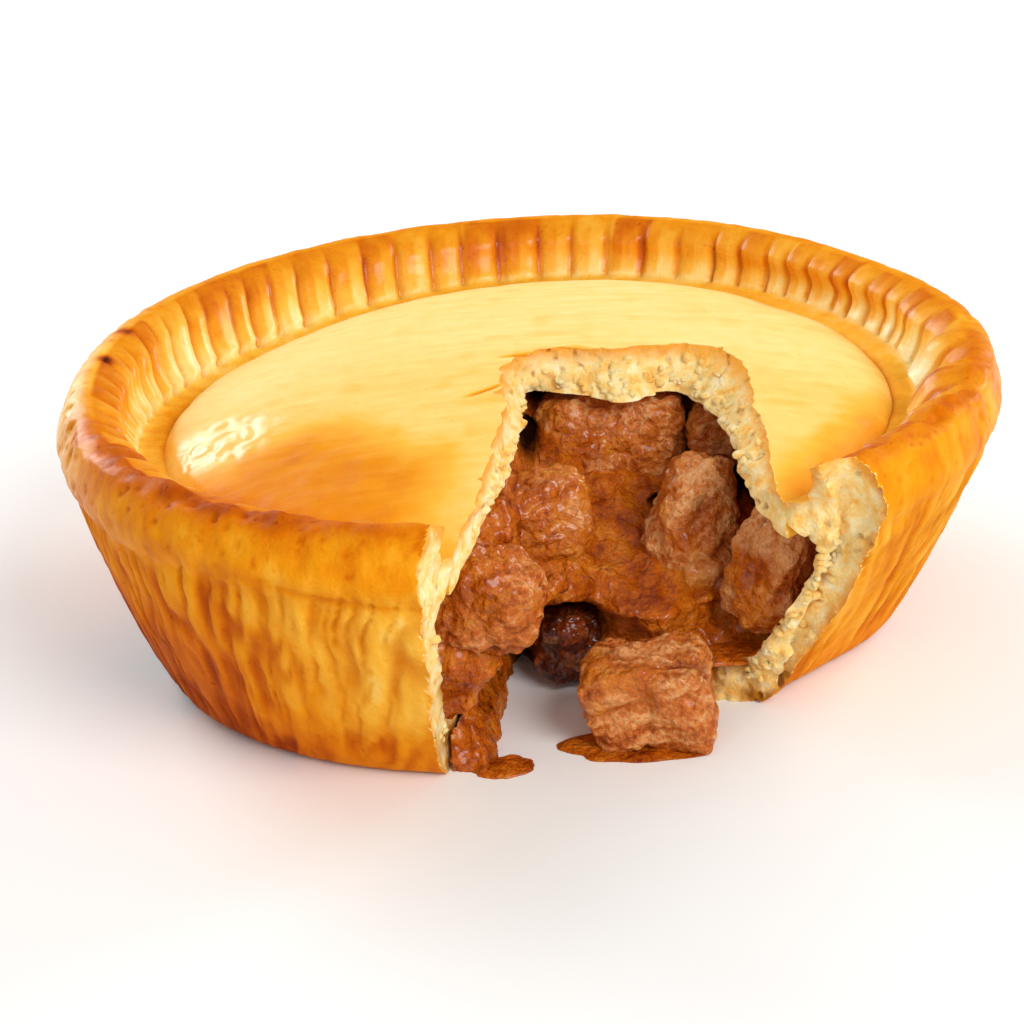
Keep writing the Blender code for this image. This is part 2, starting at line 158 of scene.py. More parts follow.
def wall_radius(azimuth, height):
    """The outside of the wall between the foot and the underside of the flange."""
    part = height / WALL_TOP_HEIGHT
    straight = base_radius(azimuth) * (1 - part) + (flange_radius(azimuth) - FLANGE_OVERHANG) * part
    return straight + WALL_BELLY * np.sin(np.pi * part)


def flute_phase(azimuth):
    """Counts flutes round the rim; they are narrow at the back and wide at the left."""
    return FLUTES * azimuth / 360 - 1.9 * np.sin(np.radians(azimuth + 8)) * np.cos(np.radians(azimuth))


def groove_inset(azimuth):
    """How far the groove lies inwards: the rim's slope is wider at the back left."""
    return GROOVE_INSET * near(azimuth, -130, 40)


def around(azimuth, radius, height):
    """Points at this radius and height for each azimuth."""
    angle = np.radians(azimuth)
    return np.stack(np.broadcast_arrays(radius * np.sin(angle), -radius * np.cos(angle), height), axis=-1)


def rounded_section(keys, rings):
    """A section through key points, with its corners rounded. keys holds radius and height for each azimuth,
    rings how many rings follow each key. The polyline is sampled evenly, averaged with a bell curve, and
    read again at the rings. Gives radius, height, the outward normal in the section and the key number."""
    length = np.linalg.norm(np.diff(keys, axis=0), axis=-1).mean(axis=1)
    at = np.concatenate([[0], np.cumsum(length)])
    even = np.arange(0, at[-1], SECTION_STEP)
    low = np.clip(np.searchsorted(at, even, side="right") - 1, 0, len(at) - 2)
    part = ((even - at[low]) / (at[low + 1] - at[low]))[:, None, None]
    line = keys[low] * (1 - part) + keys[low + 1] * part
    reach = int(3 * CORNER_ROUND / SECTION_STEP)
    weights = np.exp(-((np.arange(-reach, reach + 1) * SECTION_STEP / CORNER_ROUND) ** 2) / 2)
    padded = np.concatenate([line[:1]] * reach + [line] + [line[-1:]] * reach)
    soft = sum(w * padded[k:k + len(line)] for k, w in enumerate(weights)) / weights.sum()
    number = np.concatenate([np.linspace(k, k + 1, n, endpoint=False) for k, n in enumerate(rings)])
    where = np.interp(number, np.arange(len(at)), at) / SECTION_STEP
    first = np.clip(where.astype(int), 0, len(soft) - 2)
    part = (where - first)[:, None, None]
    section = soft[first] * (1 - part) + soft[first + 1] * part
    slope = np.gradient(soft, axis=0)[first]
    normal = np.stack([slope[..., 1], -slope[..., 0]], axis=-1)
    normal /= np.linalg.norm(normal, axis=-1, keepdims=True) + 1e-9
    return section, normal, number[:, None]


def grid_quads(rings, columns):
    """Quads between neighbouring rings of a grid that is closed round its columns."""
    here = np.arange(rings * columns).reshape(rings, columns)
    beside = np.roll(here, -1, axis=1)
    return np.stack([here[:-1], beside[:-1], beside[1:], here[1:]], axis=-1).reshape(-1, 4)


def piece(name, points, quads, caps=(), **values):
    """A mesh object in the frame's metres, with faces turned outwards and named values on its points."""
    mesh = bpy.data.meshes.new(name)
    mesh.from_pydata(((points + CENTRE) * MM).tolist(), [], quads.tolist() + [tuple(cap) for cap in caps])
    work = bmesh.new()
    work.from_mesh(mesh)
    bmesh.ops.recalc_face_normals(work, faces=work.faces)
    work.to_mesh(mesh)
    work.free()
    for key, value in values.items():
        layer = mesh.attributes.new(key, "FLOAT", "POINT")
        layer.data.foreach_set("value", np.broadcast_to(value, len(points)).astype(np.float32))
    mesh.shade_smooth()
    made = bpy.data.objects.new(name, mesh)
    bpy.context.scene.collection.objects.link(made)
    return made


def turned_piece(name, points, **values):
    """A closed piece from a grid of points turned round the pie, with both ends capped."""
    rings, columns = points.shape[:2]
    last = (rings - 1) * columns
    caps = (range(columns)[::-1], range(last, last + columns))
    flat = {key: value.reshape(-1) for key, value in values.items()}
    return piece(name, points.reshape(-1, 3), grid_quads(rings, columns), caps, **flat)


def read_all(items, key, kind, width=1):
    """One value, or width values, of each of a mesh's items, as an array."""
    values = np.empty(len(items) * width, kind)
    items.foreach_get(key, values)
    return values.reshape(-1, width) if width > 1 else values


def combine(obj, operation, other):
    """Applies one Boolean to obj. The faces that it takes from other keep their material number, and a
    value that the Boolean doesn't carry to its new points is averaged from their neighbours."""
    modifier = obj.modifiers.new(operation.title(), "BOOLEAN")
    modifier.operation, modifier.solver, modifier.object = operation, "MANIFOLD", other
    bpy.context.view_layer.update()
    result = bpy.data.meshes.new_from_object(obj.evaluated_get(bpy.context.evaluated_depsgraph_get()))
    obj.modifiers.clear()
    obj.data = result
    bpy.data.objects.remove(other)
    ends = read_all(result.edges, "vertices", np.int32, 2)
    known = read_all(result.attributes["known"].data, "value", np.float32)
    for layer in result.attributes:
        if layer.data_type != "FLOAT" or layer.domain != "POINT":
            continue
        value = read_all(layer.data, "value", np.float32)
        for _ in range(3):
            total, count = np.zeros(len(known)), np.zeros(len(known))
            for here, there in ((0, 1), (1, 0)):
                near_by = known[ends[:, there]] > 0.5
                np.add.at(total, ends[near_by, here], value[ends[near_by, there]])
                np.add.at(count, ends[near_by, here], 1)
            new = (known < 0.5) & (count > 0)
            value[new] = total[new] / count[new]
        layer.data.foreach_set("value", value)
    return obj


def keep_largest(obj):
    """Drops the loose scraps of a cut: every point takes the lowest number among its neighbours until none
    changes, and only the points that share the commonest number stay."""
    ends = read_all(obj.data.edges, "vertices", np.int32, 2)
    body = np.arange(len(obj.data.vertices))
    changed = True
    while changed:
        before = body.copy()
        lowest = np.minimum(body[ends[:, 0]], body[ends[:, 1]])
        np.minimum.at(body, ends[:, 0], lowest)
        np.minimum.at(body, ends[:, 1], lowest)
        body = np.minimum(body, body[body])
        changed = not np.array_equal(body, before)
    scraps = np.flatnonzero(body != np.bincount(body).argmax())
    work = bmesh.new()
    work.from_mesh(obj.data)
    work.verts.ensure_lookup_table()
    bmesh.ops.delete(work, geom=[work.verts[k] for k in scraps], context="VERTS")
    work.to_mesh(obj.data)
    work.free()


case_phase = np.arange(FLUTES * COLUMNS_PER_FLUTE) / COLUMNS_PER_FLUTE - FLUTES / 2
fine_turn = np.linspace(-190, 190, 7601)
case_turn = np.interp(case_phase, flute_phase(fine_turn), fine_turn)
crest, flange = crest_radius(case_turn), flange_radius(case_turn)


def inner_wall(height):
    """The inside of the wall: its outside less its thickness."""
    return wall_radius(case_turn, height) - WALL_THICKNESS


# Each row is a place in the section, from the foot up the outside, over the crest and down inside to the
# floor: its radius, its height and the number of rings up to the next row.
inset = groove_inset(case_turn)
CASE_SECTION = (
    (wall_radius(case_turn, 0) - 2.2, 0.0, 1),
    (wall_radius(case_turn, 0) - 0.6, 0.2, 3),
    (wall_radius(case_turn, 2.4), 2.4, 6),
    (wall_radius(case_turn, 10), 10.0, 8),
    (wall_radius(case_turn, 20), 20.0, 8),
    (wall_radius(case_turn, 30), 30.0, 4),
    (flange - 1.7, 32.8, 3),
    (flange - 0.5, 34.4, 3),
    (flange, 36.8, 4),
    (flange - 0.9, 39.4, 5),
    (crest + 2.6, 42.2, 3),
    (crest + 0.3, 43.25, 3),
    (crest - 1.8, 42.7, 5),
    (crest - 4.6 - 0.2 * inset, 40.6, 5),
    (58.9 - 0.5 * inset, 37.6 - 0.1 * inset, 4),
    (57.7 - 0.7 * inset, 35.5 - 0.2 * inset, 3),
    (57.1 - 0.85 * inset, 34.5 - 0.2 * inset, 4),
    (GROOVE_RADIUS - inset, GROOVE_HEIGHT - 0.2 * inset, 2),
    (GROOVE_RADIUS - inset, 32.0 - 0.1 * inset, 2),
    (inner_wall(LIP_HEIGHT) + 1.0, LIP_HEIGHT, 3),
    (inner_wall(17), 17.0, 2),
    (inner_wall(8), 8.0, 1),
    (inner_wall(6) - 2.0, FLOOR_THICKNESS, 2),
    (10.0, FLOOR_THICKNESS, 1),
)
case_keys = np.stack([np.stack(np.broadcast_arrays(out + 0 * crest, height), axis=-1)
                      for out, height, _ in CASE_SECTION])
section, section_normal, row_number = rounded_section(case_keys, [row[2] for row in CASE_SECTION[:-1]] + [1])


def by_row(rows, amounts):
    """An amount for each ring of the case, blended between these rows of its section."""
    return np.interp(row_number, rows, amounts)


# The fingers of the rim's left lean over as they run down
slanted = FLUTE_SLANT * near(case_turn, -112, 38) * by_row([12, 14, 16, 19, 20], [0, 0.6, 1, 1, 0])
case_turn = case_turn + slanted
case_points = around(case_turn, section[..., 0], section[..., 1])

# How much of each kind of relief a row of the section takes
on_wall = by_row([0, 1.5, 2.5, 6, 8], [0, 0.3, 1, 1, 0])
on_flange = by_row([5.2, 6.5, 8, 9.8, 11.4], [0, 0.7, 1, 0.9, 0])
on_flutes = by_row([10.8, 11.5, 12.4, 13.2, 15.5, 16.1], [0, 0.10, 0.5, 1, 1, 0])
on_groove = by_row([14.5, 16, 18], [0, 1, 1])

# Wrinkles of the wall: long thin creases that wander, with soft ridges between them. They keep upright as
# seen from the front, so they turn round the wall as it leans in towards the foot.
side_on = np.sin(np.radians(2 * case_turn))
plumb_turn = case_turn - WRINKLE_LEAN * (1 - section[..., 0] / FLANGE_RADIUS) * side_on
swayed = plumb_turn + 1.0 * noise(case_points, 9.0, 201) + 0.5 * noise(case_points, 3.5, 202)
upright = around(swayed, 60.0, section[..., 1] * 0.11)
wide_crease = cracks(upright, 1.7, 0.19, 203) * ramp(noise(case_points, 7.0, 204), -0.5, 0.3)
fine_crease = cracks(upright, 1.2, 0.26, 205) * ramp(noise(case_points, 6.0, 206), -0.5, 0.3)
wrinkle = np.clip(0.9 * wide_crease + 0.6 * fine_crease, 0, 1)
ridges = noise(upright, 1.7, 207)
# The seam where the flange is folded over the wall shows at the front left, and rises towards the left
folded_over = section[..., 1] - WALL_TOP_HEIGHT - 0.2 * np.clip(-16 - case_turn, 0, 15)
seam = bell(folded_over - 0.4 * noise(case_points, 6.0, 208), SEAM_WIDTH) * near(case_turn, -24, 13)


# Flutes: rounded fingers of dough between narrow creases, no two alike, each with a rounded tip
def crease_place(number):
    """Where this crease lies, counted in flutes: the even spacing, jittered."""
    return number + 0.15 * each(number, 211)


middle = np.round(case_phase)
creases = np.stack([crease_place(middle + k) for k in (-1, 0, 1)])
nearest = np.abs(creases - case_phase).argmin(axis=0)
off_crease = case_phase - np.take_along_axis(creases, nearest[None], 0)[0]
flute_strength = 0.8 + 0.35 * each(middle + nearest, 212)
finger = np.floor(case_phase + 0.02)
at_left, at_right = near(case_turn, -115, 45), near(case_turn, 118, 30)
broad = by_row([11, 13, 15, 16.2], [3.0, 3.6, 3.0, 2.0]) - 1.5 * at_left
between = np.clip(1 - 2 * np.abs(off_crease), 0, 1) ** broad
flute_crease = np.exp(-((np.abs(off_crease) / CREASE_WIDTH) ** 1.5))
large_folds = near(case_turn, 80, 17)
pleat = -flute_strength * FLUTE_DEPTH * (0.50 * between + 0.45 * flute_crease)
pleat = pleat * (1 - 0.9 * large_folds) * (1 - 0.45 * at_right)
pleat = pleat + 0.20 * each(finger, 213) * (1 - between) + 0.22 * np.sign(off_crease) * between
tip = 16.0 - 0.9 * between + 0.15 * each(finger, 214)
fingertip = 0.8 * ramp(tip - row_number, -0.05, 0.25) * (0.35 + 0.65 * at_left)
fingertip = fingertip * np.clip(row_number - 13, 0, 1)
wave = np.cos(np.radians(case_turn - FOLD_AT + 2.5 * noise(case_points, 9.0, 215)) * 360 / FOLD_SPACING)
pleat = pleat + FOLD_DEPTH * large_folds * wave + 0.35 * large_folds * noise(case_points, 4.0, 216)

# The whole relief: the flange is cratered, most of all at the left, and its crest is bumpy in front
craggy = 0.75 + 0.5 * near(case_turn, -74, 36)
craters = ramp(-specks(case_points, CRATER_SIZE, 217), -0.30, -0.16)
relief = on_wall * (0.16 * noise(case_points, 6.0, 221) + 0.16 * ridges - 0.55 * wrinkle
                    + 0.10 * noise(case_points, 1.6, 222))
relief = relief - SEAM_DEPTH * seam
relief += on_flange * craggy * (0.34 * noise(case_points, 5.5, 223) + 0.34 * noise(case_points, 2.6, 224)
                                + 0.18 * noise(case_points, 1.2, 225) - CRATER_DEPTH * craters)
front_crest = near(case_turn, -38, 30) + near(case_turn, 60, 22)
crest_bumps = by_row([9.5, 10.5, 12.0, 13.0], [0, 1, 1, 0]) * front_crest
relief += crest_bumps * (1.1 * noise(case_points, 3.4, 228) + 0.5 * noise(case_points, 1.7, 229) - 0.7)
relief += on_flutes * (pleat + fingertip + 0.09 * noise(case_points, 1.8, 226))
relief += on_groove * (0.16 * noise(case_points, 3.0, 227))
# A small knot of dough with a dimple in it lies beside the groove at the right
from_knot = np.linalg.norm(case_points - KNOT, axis=-1)
relief += 0.9 * bell(from_knot, 1.7) - 1.0 * bell(from_knot, 0.7)
relief = np.where(on_flange > 0.5, np.minimum(relief, FLANGE_RELIEF_LIMIT), relief)
moved = section + section_normal * relief[..., None]
case_points = around(case_turn, moved[..., 0], np.clip(moved[..., 1], 0.0, CREST_HEIGHT))

# How far each place is baked, from 0, pale, to 1, burnt, with painted shade and painted light added in
# places, and how thick its glaze is
# The low left of the wall is darker: partly browner baking, partly painted shade
left_low_browning_and_shade = near(case_turn, -78, 30) * ramp(-section[..., 1], -33, -12)
# The wall's wrinkles are painted darker as shade
wall_bake = 0.46 + 0.06 * noise(case_points, 8.0, 231) + 0.30 * left_low_browning_and_shade + 0.13 * wrinkle - 0.07 * ridges
# The front wall beside the break and the right wall are painted paler as light falling on them
wall_bake = wall_bake - 0.17 * near(case_turn, -17, 13) * ramp(section[..., 1], 4, 16)
wall_bake = wall_bake - 0.07 * near(case_turn, 55, 30)
# Darker at the foot and along the seam; the wall's left edge is painted darker as shade
wall_bake = wall_bake + 0.07 * ramp(-section[..., 1], -9, -2) + 0.22 * seam + 0.12 * near(case_turn, -84, 14)
flange_bake = 0.46 + 0.12 * rough(case_points, 4.0, 232) + 0.06 * near(case_turn, -54, 14)
# Craters are painted darker as shade
flange_bake = flange_bake + 0.10 * craters * craggy
flange_bake = flange_bake + 0.15 * crest_bumps - 0.16 * near(case_turn, -92, 20)
flange_bake = np.minimum(flange_bake, FLANGE_BAKE_LIMIT)
flange_share = np.where(row_number > 8, 1.0, on_flange / (on_wall + on_flange + 1e-6))
bake = wall_bake + (flange_bake - wall_bake) * flange_share
# Inside the crest the dough pales down to the groove, but for the creases, which are painted darker as shade,
# and the far side is browner; one side of each finger is painted darker as shade
toasted = by_row([11.5, 12.3, 13.2, 14.2, 15.5, 16.2, 17.5], [0.54, 0.48, 0.40, 0.28, 0.16, 0.34, 0.38])
toasted = toasted + 0.20 * flute_crease * by_row([12, 13, 15, 16], [0, 1, 1, 0])
toasted = toasted + 0.10 * each(finger, 218) * ramp(-row_number, -15.6, -14.6)
toasted = toasted + 0.08 * noise(case_points, 12.0, 233)
back_browning_and_side_shade = 0.08 * near(case_turn, 170, 45) + 0.06 * np.sign(-off_crease) * (1 - between)
toasted = toasted + back_browning_and_side_shade * by_row([12, 13.5, 14.8, 15.8], [0, 1, 1, 0])
toasted = toasted + 0.12 * near(case_turn, -92, 16) * ramp(row_number, 15.8, 17)
# The large folds at the right are painted paler as a highlight
toasted = toasted - 0.27 * near(case_turn, 86, 12) * by_row([12.6, 13.6, 15.6, 16.4], [0, 1, 1, 0])
toasted = toasted + 0.24 * ramp(row_number, 18, 20)
bake = np.where(row_number > 11.5, toasted, bake)
bake = bake + 0.09 * by_row([9.0, 10.2, 12.6, 13.6], [0, 1, 1, 0]) * near(case_turn, -45, 36)
for spot in BURNT_SPOTS:
    bake = bake + 0.5 * bell(np.linalg.norm(case_points - spot, axis=-1), BURNT_WIDTH)
glaze = 0.8 * on_flutes + on_flange * (0.12 + 0.9 * near(case_turn, -80, 26))
glaze = np.clip(glaze + 0.5 * on_flange * near(case_turn, 78, 16), 0, 1)

baked_case = turned_piece("baked_case", case_points, known=np.ones_like(bake), bake=np.clip(bake, 0, 1),
                          glaze=glaze + 0 * bake, crease=on_wall * wrinkle + on_flutes * flute_crease)


# The tear: the crust was pulled away by hand, so it parts in ragged steps, and the broken faces show pale,
# crumbly dough with small pits, baked golden along the outside and stained with gravy along the inside.
LID_RADIUS, LID_EDGE_HEIGHT, LID_RISE, LID_THICKNESS = 52.7, 34.2, 7.6, 6.0
TEAR_POINTS, TEAR_ROWS = 470, 120
TEAR_ROUGHNESS, TEAR_CRAG_SIZE = 0.9, 7.0
# Heights in the crust, and which of the tear's edges is reached at each: 0 at its top, 1 at its underside
# and 2 at its floor
TEAR_HEIGHTS = (-5.0, 4.0, 31.0, 35.0, 41.5, 55.0)
TEAR_PLACES = (2, 2, 1, 1, 0, 0)
# The edge of the tear in plan at the top of the crust, at its underside and at its floor, from left to right
TEAR = (
    ((-20, -90), (-20, -90), (-20, -90)),
    ((-13.7, -67), (-13.5, -63), (-14, -50)),
    ((-9.7, -56), (-9.8, -52), (-11.5, -42)),
    ((-6.2, -40), (-5.4, -38), (-9, -30)),
    ((-2.8, -21), (-1, -20), (-6, -19)),
    ((-1.5, -4), (1.5, -1), (-2.5, -13)),
    ((6, 0.5), (9, -4), (3, -14.5)),
    ((14, -0.5), (15, -7), (10.5, -16)),
    ((22, 1.5), (21, -2.5), (16, -23)),
    ((30.5, 0), (25.5, -7), (20, -31)),
    ((34, -12), (28.5, -15), (24, -32)),
    ((36, -27), (29.5, -30), (28, -32.5)),
    ((37, -40), (33, -42), (30.5, -34)),
    ((36.5, -51), (39, -45.5), (32.5, -34.5)),
    ((43, -50.5), (42.5, -47), (35, -35)),
    ((62, -78), (62, -78), (62, -78)),
)


def smooth_path(keys, count):
    """Points spread evenly along a Catmull-Rom curve through the keys."""
    padded = np.vstack([2 * keys[0] - keys[1], keys, 2 * keys[-1] - keys[-2]])
    steps = np.linspace(0, len(keys) - 1 - 1e-9, count)
    start = steps.astype(int)
    part = (steps - start)[:, None]
    a, b, c, d = (padded[start + k] for k in range(4))
    bend = (2 * a - 5 * b + 4 * c - d) * part**2 + (3 * b - a - 3 * c + d) * part**3
    return 0.5 * (2 * b + (c - a) * part + bend)


def lid_top(azimuth, radius):
    """The domed top of the lid, steep near the groove and flat over the middle."""
    edge = LID_RADIUS - groove_inset(azimuth)
    return LID_EDGE_HEIGHT + LID_RISE * np.clip(1 - (radius / edge) ** 2, 0, 1) ** 0.6


def crumb_pits(points):
    """1 in the small round pits that gas has left in the crumb."""
    return ramp(-specks(points, 2.5, 246), -0.25, -0.12)


def crumb_relief(points):
    """How far broken dough stands out: rounded grains of three sizes, thin level layers, and pits."""
    layers = noise(points * (0.3, 0.3, 1.0), 1.5, 241)
    grains = 0.45 * noise(points, 2.8, 242) + 0.34 * noise(points, 1.4, 243) + 0.16 * noise(points, 0.8, 244)
    clumps = 0.5 * ramp(-specks(points, 2.9, 245), -0.48, -0.12)
    return grains + 0.22 * layers + 0.8 * crumb_pits(points) - clumps


def under_skin(points):
    """How deep each point lies under the outside of the crust."""
    turn = np.degrees(np.arctan2(points[..., 0], -points[..., 1]))
    out, height = np.hypot(points[..., 0], points[..., 1]), points[..., 2]
    side = np.where(height < 32.0, wall_radius(turn, np.minimum(height, 32.0)), flange_radius(turn))
    top = np.interp(out, [GROOVE_RADIUS, 56.6, 59.4, 63.5, 68.0], [GROOVE_HEIGHT, 35.4, 39.4, 43.2, 38.0])
    top = np.where(out < GROOVE_RADIUS, lid_top(turn, out), top)
    return np.minimum(side - out, top - height)


def torn_face(lowest, grow, highest=TEAR_HEIGHTS[-1]):
    """The face of the tear as a grid of points with its outward direction: at each height its outline is a
    blend of the tear's three edges, pushed out and in by coarse crags and then by the crumb's own relief."""
    paths = np.stack([smooth_path(np.array([row[k] for row in TEAR], float), TEAR_POINTS) for k in range(3)])
    along = np.gradient(paths, axis=1)
    outward = unit(np.stack([-along[..., 1], along[..., 0]], axis=-1))
    inner_rows = np.linspace(-0.5, 46.0, TEAR_ROWS)
    inner_rows = inner_rows[(inner_rows > lowest) & (inner_rows < highest)]
    height = np.concatenate([[lowest], inner_rows, [highest]])
    height = height[:, None] + np.zeros(TEAR_POINTS)
    edges = []
    for path, out in zip(paths, outward):
        raised = np.stack([path[:, 0] + 0 * height, path[:, 1] + 0 * height, height * 1.7], axis=-1)
        edges.append(path + out * (TEAR_ROUGHNESS * rough(raised, TEAR_CRAG_SIZE, 11) + grow)[..., None])
    level = np.interp(height, TEAR_HEIGHTS, range(len(TEAR_HEIGHTS)))
    below = np.array(TEAR_PLACES)[np.floor(level).astype(int)][:, 0]
    above = np.array(TEAR_PLACES)[np.ceil(level).astype(int)][:, 0]
    part = (level % 1)[..., None]
    rows = np.arange(len(height))
    edge = np.stack(edges)
    plan = edge[below, rows] * (1 - part) + edge[above, rows] * part
    out = outward[below] * (1 - part) + outward[above] * part
    points = np.concatenate([plan, height[..., None]], axis=-1)
    inside_pie = ramp(-np.hypot(points[..., 0], points[..., 1]), -76, -70)
    crumbly = inside_pie * (1 - 0.55 * ramp(-points[..., 0], 4, 9))
    points[..., :2] += out * (crumb_relief(points) * crumbly)[..., None]
    return points, out


def past_inner_wall(points):
    """How far each point lies outside the inner face of the wall, less than 0 inside it."""
    turn = np.degrees(np.arctan2(points[..., 0], -points[..., 1]))
    inner = wall_radius(turn, np.clip(points[..., 2], 0, 32)) - WALL_THICKNESS
    return np.hypot(points[..., 0], points[..., 1]) - inner


def missing_crust(name, lowest, grow, highest=TEAR_HEIGHTS[-1]):
    """The missing wedge of crust, a closed body whose faces have the torn material's number."""
    points, _ = torn_face(lowest, grow, highest)
    within, height = past_inner_wall(points), points[..., 2]
    wet = ramp(-within, -2.4, 1.0) * ramp(-height, -31, -26) + ramp(-height, -9, -4)
    wedge = turned_piece(name, points, known=np.ones_like(within), bake=0.3 + 0 * within, glaze=0 * within,
                         crease=crumb_pits(points), depth=under_skin(points), wet=np.clip(wet, 0, 1))
    wedge.data.polygons.foreach_set("material_index", np.full(len(wedge.data.polygons), 1, np.int32))
    return wedge


def crisp_borders(obj):
    """Marks each edge sharp where a torn face meets a baked one, so that neither is shaded as the other."""
    mesh = obj.data
    number = read_all(mesh.polygons, "material_index", np.int32)
    corners = read_all(mesh.polygons, "loop_total", np.int32)
    edge = read_all(mesh.loops, "edge_index", np.int32)
    torn = np.bincount(edge, np.repeat(number, corners), len(mesh.edges))
    faces = np.bincount(edge, minlength=len(mesh.edges))
    mesh.edges.foreach_set("use_edge_sharp", (torn > 0) & (torn < faces))


def colour(code, alpha=1.0):
    """A colour written as in a paint box, such as F2B04A, as the linear numbers that a shader takes."""
    parts = np.array([int(code[k:k + 2], 16) for k in (0, 2, 4)]) / 255
    linear = np.where(parts <= 0.04045, parts / 12.92, ((parts + 0.055) / 1.055) ** 2.4)
    return (*linear.tolist(), alpha)


def node(tree, kind, inputs=None, **settings):
    """A shader node with its settings; each input is a fixed value or another node's output."""
    made = tree.nodes.new("ShaderNode" + kind)
    for key, value in settings.items():
        setattr(made, key, value)
    for key, value in (inputs or {}).items():
        if isinstance(value, bpy.types.NodeSocket):
            tree.links.new(value, made.inputs[key])
        else:
            made.inputs[key].default_value = value
    return made


def value_of(tree, name):
    """A value that the mesh carries on its points."""
    return node(tree, "Attribute", attribute_name=name).outputs["Fac"]


def speckle(tree, size, detail=3.0, stretch=(1, 1, 1), sharp=0.55):
    """A noise pattern in 0..1 with marks of about size millimetres, drawn out where stretch is below 1."""
    place = node(tree, "TexCoord").outputs["Object"]
    placed = node(tree, "Mapping", {"Vector": place, "Scale": stretch}).outputs["Vector"]
    pattern = node(tree, "TexNoise", {"Vector": placed, "Scale": 1 / (size * MM), "Detail": detail,
                                      "Roughness": sharp})
    return pattern.outputs["Fac"]


def sums(tree, operation, first, second, third=0.0):
    """One sum of two or three numbers or outputs."""
    return node(tree, "Math", {0: first, 1: second, 2: third}, operation=operation).outputs[0]


def spread(tree, value, low, high, to_low=0.0, to_high=1.0):
    """Turns low..high into to_low..to_high, and holds the ends."""
    return node(tree, "MapRange", {"Value": value, "From Min": low, "From Max": high, "To Min": to_low,
                                   "To Max": to_high}).outputs[0]


def blend(tree, share, first, second, way="MIX"):
    """Mixes two colours by a share from 0 to 1."""
    mix = node(tree, "Mix", {0: share, 6: first, 7: second}, data_type="RGBA", blend_type=way)
    return mix.outputs[2]


def shades(tree, value, stops):
    """A colour for each value, blended between stops of a place and a colour code."""
    made = tree.nodes.new("ShaderNodeValToRGB")
    made.color_ramp.interpolation = "LINEAR"
    while len(made.color_ramp.elements) < len(stops):
        made.color_ramp.elements.new(0.5)
    for element, (place, code) in zip(made.color_ramp.elements, stops):
        element.position, element.color = place, colour(code)
    tree.links.new(value, made.inputs["Fac"])
    return made.outputs["Color"]


def new_group(name, inputs, outputs):
    """An empty shader node group with these named inputs and outputs, and the sockets inside it."""
    tree = bpy.data.node_groups.new(name, "ShaderNodeTree")
    for title, kind in inputs:
        tree.interface.new_socket(title, in_out="INPUT", socket_type="NodeSocket" + kind)
    for title, kind in outputs:
        tree.interface.new_socket(title, in_out="OUTPUT", socket_type="NodeSocket" + kind)
    return tree, tree.nodes.new("NodeGroupInput").outputs, tree.nodes.new("NodeGroupOutput").inputs


def place_group(tree, group, inputs):
    """A group in a material, with its own values."""
    return node(tree, "Group", inputs, node_tree=group).outputs


def new_material(name, **settings):
    """A material with one Principled shader whose fixed values are set on its own sockets."""
    made = bpy.data.materials.new(name)
    made.use_nodes = True
    shader = made.node_tree.nodes["Principled BSDF"]
    shader.subsurface_method = "RANDOM_WALK"
    for key, value in settings.items():
        shader.inputs[key.replace("_", " ")].default_value = value
    return made, made.node_tree, shader.inputs


def bump(tree, height, distance, strength=1.0):
    """A bump whose full height is distance millimetres."""
    return node(tree, "Bump", {"Height": height, "Distance": distance * MM, "Strength": strength}).outputs[0]


# Shared by every baked surface: dough goes from cream through gold and orange to burnt brown as it bakes
baked_dough, taken, given = new_group(
    "baked_dough", [("Bake", "Float"), ("Mottle", "Float")], [("Colour", "Color"), ("Grain", "Float")])
mottled = sums(baked_dough, "SUBTRACT", speckle(baked_dough, 2.6, 5.0, (1, 1, 0.22)), 0.5)
dotted = spread(baked_dough, speckle(baked_dough, 1.1, 3.0), 0.62, 0.76, 0.0, 0.35)
spotted = sums(baked_dough, "ADD", mottled, dotted)
browned = sums(baked_dough, "MULTIPLY_ADD", spotted, taken["Mottle"], taken["Bake"])
baked_dough.links.new(shades(baked_dough, browned, (
    (0.00, "FFF0B8"), (0.14, "FFDD86"), (0.30, "FBBA3C"), (0.46, "EE9510"), (0.60, "D96F03"),
    (0.74, "AC4602"), (0.88, "662402"), (1.00, "2C0D01"))), given["Colour"])
coarse = speckle(baked_dough, 1.6, 4.0)
baked_dough.links.new(sums(baked_dough, "MULTIPLY_ADD", speckle(baked_dough, 0.5, 4.0), 0.5, coarse),
                      given["Grain"])

crust, tree, shader = new_material("glazed_crust", Subsurface_Weight=0.06, Subsurface_Scale=0.002,
                                   Coat_Roughness=0.22, Specular_IOR_Level=0.03)
dough = place_group(tree, baked_dough, {"Bake": value_of(tree, "bake"), "Mottle": 0.26})
# Wrinkles and flute creases are painted darker as shade
crease_shade = sums(tree, "MULTIPLY", value_of(tree, "crease"), 0.4)
tree.links.new(blend(tree, crease_shade, dough["Colour"], colour("B8600A"), "MULTIPLY"), shader["Base Color"])
tree.links.new(spread(tree, value_of(tree, "glaze"), 0.0, 1.0, 0.55, 0.38), shader["Roughness"])
tree.links.new(spread(tree, value_of(tree, "glaze"), 0.12, 1.0, 0.0, 0.55), shader["Coat Weight"])
tree.links.new(bump(tree, dough["Grain"], 0.28), shader["Normal"])

